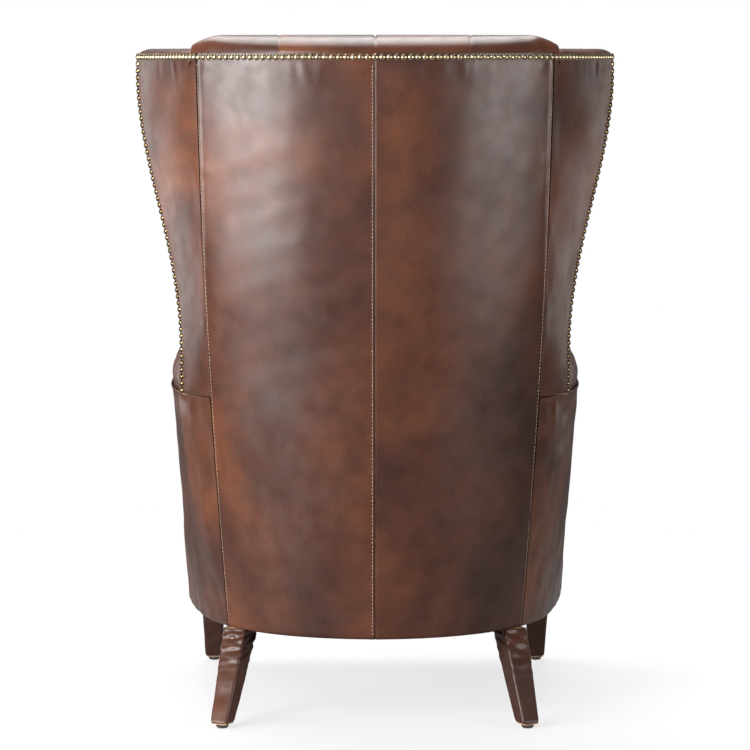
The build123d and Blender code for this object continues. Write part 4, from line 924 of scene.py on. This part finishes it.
def dust_cover():
    """Black cloth under the seat, sagging a little between its tacks."""
    z = np.array(BASE_Z + 0.001)
    inset = 0.006
    rear = back_point(z, np.linspace(0, 1, 30), inset)
    poles = arm_poles(np.full(60, float(z)))
    last = float(solve(lambda s: -side_point(arm_poles(z), s, np.array(inset), z)[..., 1],
                       np.array(ARM_FRONT_DEPTH - BACK_Y), 0, 1.2))
    right = side_point(poles, np.linspace(0.03, last, 60), np.full(60, inset), np.full(60, float(z)))
    front = np.linspace(right[-1], right[-1] * np.array([0, 1, 1]), 30)[1:]
    half = np.concatenate([rear, right, front])
    ring = np.concatenate([half, flipped(half[::-1])[1:-1]])
    middle = np.array([0, ring[:, 1].mean(), float(z)])
    rings = []
    for share in np.linspace(1, 0.04, 30):
        level = mix(middle, ring, share)
        wave = 0.0004 * ripple(91, 0.1, level[:, 0], level[:, 1]) * (1 - share)
        level[:, 2] -= 0.0025 * (1 - share ** 2) + wave
        rings.append(level)
    face = np.stack(rings)
    rows, n = face.shape[:2]
    count = rows * n
    under = quads(rows, n, True)
    rim = np.arange(n)
    after = np.roll(rim, -1)
    points = np.concatenate([face.reshape(-1, 3), face.reshape(-1, 3) + np.array([0, 0, 0.0008])])
    edge = np.stack([rim, after, after + count, rim + count], -1)
    faces = np.concatenate([under, under[:, ::-1] + count, edge]).tolist()
    inner = (rows - 1) * n
    faces += [list(range(inner, inner + n)), list(range(inner + count, inner + count + n))[::-1]]
    piece("dust_cloth", mesh_of("dust_cloth", points, faces), LINING, ["dust_cover"])


# Legs in leather

def leg_wrap(name, sign, foot, head, turn, seed):
    """A tapered square leg in leather, its corners soft, wrinkled below the seat."""
    corner = 0.0045
    turned = np.linspace(GLIDE_HEIGHT + 0.0005, GLIDE_HEIGHT + 0.009, 8)
    above = np.linspace(GLIDE_HEIGHT + 0.011, BASE_Z - 0.0004, 80)
    levels = np.concatenate([[GLIDE_HEIGHT] * 2, turned, above])
    rings = []
    for row, z in enumerate(levels):
        k = z / BASE_Z
        half = mix(LEG_FOOT, LEG_TOP, k) / 2
        if row == 0:
            half *= 0.3
        else:
            half -= float(rolled(np.array(z - GLIDE_HEIGHT), 0.007)) * 0.75
        spots = []
        for quarter in range(4):
            base = quarter * pi / 2
            for angle in np.linspace(-pi / 4, pi / 4, 19)[:-1]:
                reach = half / cos(angle)
                blunt = (half - corner) * sqrt(2) + corner
                round_off = mix(reach, blunt, ease((abs(angle) - 0.55) / 0.2))
                spots.append((min(reach, round_off), base + angle))
        radius, angle = np.array(spots).T
        edge = np.exp(-((levels[-1] - z) / 0.05) ** 2)
        aside, ahead = radius * np.cos(angle), radius * np.sin(angle)
        crumple = 0.0016 * edge * ripple(seed, 0.035, aside, ahead, np.full_like(angle, 2.6 * z))
        crumple = crumple + 0.0005 * ripple(seed + 1, 0.05, aside, np.full_like(angle, z))
        radius = radius + crumple
        x = mix(foot[0], head[0], k) + radius * np.cos(angle + turn)
        y = mix(foot[1], head[1], k) + radius * np.sin(angle + turn)
        rings.append(np.stack([x, y, np.full_like(x, z)], -1))
    rings = np.stack(rings)
    if sign < 0:
        rings = flipped(rings)
    piece(name + "_leather", loft_mesh(name, rings), HIDE_LEG, [name])


def legs():
    for kind, turn in (("rear", -LEG_TURN), ("front", 0.0)):
        low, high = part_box(kind + "_leg_wrap_right")
        verts = np.array([v.co for v in nodes[kind + "_leg_wrap_right"].data.vertices])
        foot = verts[verts[:, 2] < low.z + 0.002].mean(0)
        head = verts[verts[:, 2] > high.z - 0.002].mean(0)
        slope = (head - foot) / (head[2] - foot[2])
        foot = foot - slope * foot[2]
        head = head + slope * (BASE_Z - head[2])
        leg_wrap(kind + "_leg_wrap_right", 1, foot, head, turn, 101)
        leg_wrap(kind + "_leg_wrap_left", -1, foot, head, turn, 105)


# Loose cushion with its piping and zip

CUSHION_CAP = 0.022        # the swelling moves no point further than this
CLOTH_STEPS = 20
PIPING_RADIUS = 0.0038
TOOTH_PITCH = 0.0036


def simulated(mesh):
    """Swells a closed mesh like a filled cover, and returns how far each point moved."""
    obj = bpy.data.objects.new("cushion_fill", mesh)
    bpy.context.scene.collection.objects.link(obj)
    modifier = obj.modifiers.new("cloth", "CLOTH")
    settings = modifier.settings
    settings.quality = 5
    settings.mass = 0.3
    settings.tension_stiffness = 12
    settings.compression_stiffness = 12
    settings.bending_stiffness = 0.6
    settings.use_pressure = True
    settings.uniform_pressure_force = 4.0
    settings.effector_weights.gravity = 0
    modifier.collision_settings.use_collision = False
    scene = bpy.context.scene
    for step in range(1, CLOTH_STEPS + 1):
        scene.frame_set(step)
    result = obj.evaluated_get(bpy.context.evaluated_depsgraph_get())
    moved = np.array([v.co for v in result.data.vertices]) - np.array([v.co for v in mesh.vertices])
    scene.frame_set(1)
    bpy.data.objects.remove(obj)
    length = np.linalg.norm(moved, axis=1, keepdims=True)
    return moved * np.minimum(1, CUSHION_CAP / np.maximum(length, 1e-9))


def cushion():
    low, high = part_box("cushion_cover")
    mesh = softened("seat_cushion", "cushion_core", 0.006, 3)
    rest = np.array([v.co for v in mesh.vertices])
    normals = np.array([v.normal for v in mesh.vertices])
    moved = simulated(mesh)
    x, y, z = rest.T
    top = ease((z - low.z - 0.03) / 0.08)
    sides = ease((np.minimum(high.x - np.abs(x), 0.05)) / 0.05)
    back = ease((high.y - y) / 0.05)
    free = top * mix(0.12, 1, sides) * back
    dimple = 0.006 * np.exp(-(x / 0.16) ** 2 - ((y - low.y - 0.30) / 0.17) ** 2)
    spots = rest + normals * 0.0024 + moved * free[:, None]
    spots[:, 2] += (0.0012 * ripple(111, 0.13, x, y) - dimple) * ease((z - high.z + 0.06) / 0.05)
    spots[:, 1] += 0.0016 * ripple(112, 0.10, x, z) * ease((low.y + 0.05 - y) / 0.05)
    spots[:, 2] = np.maximum(spots[:, 2], low.z + 0.0002)
    mesh.vertices.foreach_set("co", spots.astype(np.float32).ravel())
    mesh.update()
    replaced = ["cushion_cover", "cushion_core"]
    obj = piece("seat_cushion", mesh, HIDE_CUSHION, replaced, "seat_cushion")
    smooth = obj.modifiers.new("even", "SUBSURF")
    smooth.levels = smooth.render_levels = 1
    for name, height in (("upper", high.z - 0.024), ("lower", low.z + 0.010)):
        piping("cushion_piping_" + name, mesh, height, (low + high) / 2)


def piping(name, mesh, height, middle):
    """A leather cord sewn round the cushion's edge."""
    bm = bmesh.new()
    bm.from_mesh(mesh)
    tree = BVHTree.FromBMesh(bm)
    bm.free()
    count, sides = 260, 10
    spots = []
    for k in range(count):
        angle = 2 * pi * k / count
        way = Vector((cos(angle), sin(angle), 0))
        hit = tree.ray_cast(Vector((middle.x, middle.y, height)) + way * 0.9, -way)[0]
        spots.append(np.array(hit) + np.array(way) * 0.0008)
    spots = np.array(spots)
    spots = (np.roll(spots, 1, 0) + 2 * spots + np.roll(spots, -1, 0)) / 4
    along = np.roll(spots, -1, 0) - np.roll(spots, 1, 0)
    along /= np.linalg.norm(along, axis=1, keepdims=True)
    up = np.array([0, 0, 1.0])
    aside = np.cross(along, up)
    aside /= np.linalg.norm(aside, axis=1, keepdims=True)
    turn = np.linspace(0, 2 * pi, sides, endpoint=False)[None, :, None]
    rings = spots[:, None] + PIPING_RADIUS * (np.cos(turn) * aside[:, None] + np.sin(turn) * up)
    points = np.concatenate([rings, rings[:1]]).reshape(-1, 3)
    cord = mesh_of(name, points, quads(count + 1, sides, True))
    piece(name, cord, HIDE_CUSHION, (), "seat_cushion")


def cushion_zip():
    """Two tapes and a row of teeth."""
    low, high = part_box("cushion_zip")
    centre = (low.z + high.z) / 2
    outside = high.y - 0.0006
    boxes = [(low, Vector((high.x, outside, centre - 0.0012))),
             (Vector((low.x, low.y, centre + 0.0012)), Vector((high.x, outside, high.z)))]
    for k in range(int((high.x - low.x - 0.01) / TOOTH_PITCH)):
        x = low.x + 0.005 + k * TOOTH_PITCH
        mid = centre + (0.0008 if k % 2 else -0.0008)
        boxes.append((Vector((x, low.y + 0.0002, mid - 0.002)), Vector((x + 0.0022, high.y, mid + 0.002))))
    points, faces = [], []
    for a, b in boxes:
        first = len(points)
        points += [(x, y, z) for x in (a.x, b.x) for y in (a.y, b.y) for z in (a.z, b.z)]
        for face in ((0, 1, 3, 2), (4, 6, 7, 5), (0, 4, 5, 1), (2, 3, 7, 6), (0, 2, 6, 4), (1, 5, 7, 3)):
            faces.append([first + corner for corner in face])
    mesh = mesh_of("zip_rows", points, faces)
    mesh.polygons.foreach_set("use_smooth", [False] * len(mesh.polygons))
    piece("zip_rows", mesh, TAPE, ["cushion_zip"], "seat_cushion")


both_sides(outside_back)
both_sides(outside_wing)
both_sides(outside_arm)
seam_stitches()
inside_back()
both_sides(inside_border)
both_sides(arm_tuck)
both_sides(wing)
both_sides(arm)
both_sides(facing)
front_border()
deck()
webbing()
dust_cover()
legs()
cushion()
cushion_zip()

# Materials of the frame's own pieces
FINISHES = {"leather": HIDE_INSIDE, "brass": BRASS, "timber": TIMBER, "steel": SPRING, "glide": GLIDE,
            "stuffing": HESSIAN, "hessian": HESSIAN, "dust_cloth": LINING, "zip_tape": TAPE}
for row in frame["record"]["subparts"]:
    mesh = nodes[row["node"]].data
    mesh.materials.clear()
    mesh.materials.append(FINISHES[row["material_slot"]])


# Stage, light and camera

STUDIO_LEVEL = 0.10        # how much the white studio lights the chair
PHOTO_SIZE = 750
SENSOR_WIDTH = 36
FOCAL_PIXELS = 3394.0
CAMERA_PLACE = (0.0, 5.87, 1.112)
CAMERA_TILT = radians(5.352)


def stage():
    """A pale floor round the chair that fades out into the white studio."""
    bpy.ops.mesh.primitive_plane_add(size=12)
    floor = bpy.context.object
    floor.name = "floor"
    tree = Tree("floor")
    tree.set(Base_Color=(0.93, 0.93, 0.93, 1), Roughness=0.9, Specular_IOR_Level=0.1)
    away = tree.add("VectorMath", {0: tree.spot}, operation="LENGTH").outputs["Value"]
    tree.set(Alpha=tree.span(away, 0.8, 2.2, 0.28, 0.0))
    floor.data.materials.append(tree.material)


def area_light(name, place, aim, size, power, spread=180):
    light = bpy.data.lights.new(name, "AREA")
    light.shape = "RECTANGLE"
    light.size, light.size_y = size
    light.energy = power
    light.spread = radians(spread)
    obj = bpy.data.objects.new(name, light)
    bpy.context.scene.collection.objects.link(obj)
    obj.location = place
    obj.rotation_euler = (Vector(aim) - Vector(place)).to_track_quat("-Z", "Y").to_euler()
    obj.visible_camera = False


def lights():
    """White studio with soft boxes: a key, low boxes for the sheen, one overhead and two at the rear."""
    world = bpy.data.worlds.new("studio")
    bpy.context.scene.world = world
    world.use_nodes = True
    tree = world.node_tree
    path = tree.nodes.new("ShaderNodeLightPath")
    level = tree.nodes.new("ShaderNodeMapRange")
    level.inputs["To Min"].default_value = STUDIO_LEVEL
    level.inputs["To Max"].default_value = 1.0
    tree.links.new(path.outputs["Is Camera Ray"], level.inputs["Value"])
    tree.links.new(level.outputs["Result"], tree.nodes["Background"].inputs["Strength"])
    tree.nodes["Background"].inputs["Color"].default_value = (1, 1, 1, 1)
    area_light("key", (2.2, 2.8, 2.3), (0.15, 0.38, 1.15), (1.2, 1.2), 14, 75)
    area_light("left_sheen", (2.45, 1.75, 0.88), (0.2, 0.35, 1.05), (2.1, 0.95), 52, 110)
    area_light("right_sheen", (-2.4, 1.7, 0.88), (-0.2, 0.35, 1.05), (1.8, 0.95), 17, 110)
    area_light("left_box", (2.3, -2.1, 1.0), (0.3, 0, 0.6), (1.2, 1.9), 13)
    area_light("right_box", (-2.3, -2.1, 1.0), (-0.3, 0, 0.6), (1.2, 1.9), 6)
    area_light("overhead", (0.2, -1.2, 3.2), (0, -0.3, 0), (2.6, 2.6), 130)
    area_light("rear_fill", (-1.6, 4.2, 2.8), (0, 0.3, 0.6), (2.0, 1.6), 18)
    area_light("rear_strip", (0.3, 5.4, 0.3), (0, 0.4, 1.0), (4.0, 0.5), 12)


def camera():
    data = bpy.data.cameras.new("camera")
    data.sensor_width = SENSOR_WIDTH
    data.lens = SENSOR_WIDTH * FOCAL_PIXELS / PHOTO_SIZE
    obj = bpy.data.objects.new("camera", data)
    bpy.context.scene.collection.objects.link(obj)
    obj.location = CAMERA_PLACE
    obj.rotation_euler = (pi / 2 - CAMERA_TILT, 0, pi)
    bpy.context.scene.camera = obj


stage()
lights()
camera()
bpy.context.scene.view_settings.view_transform = "Standard"
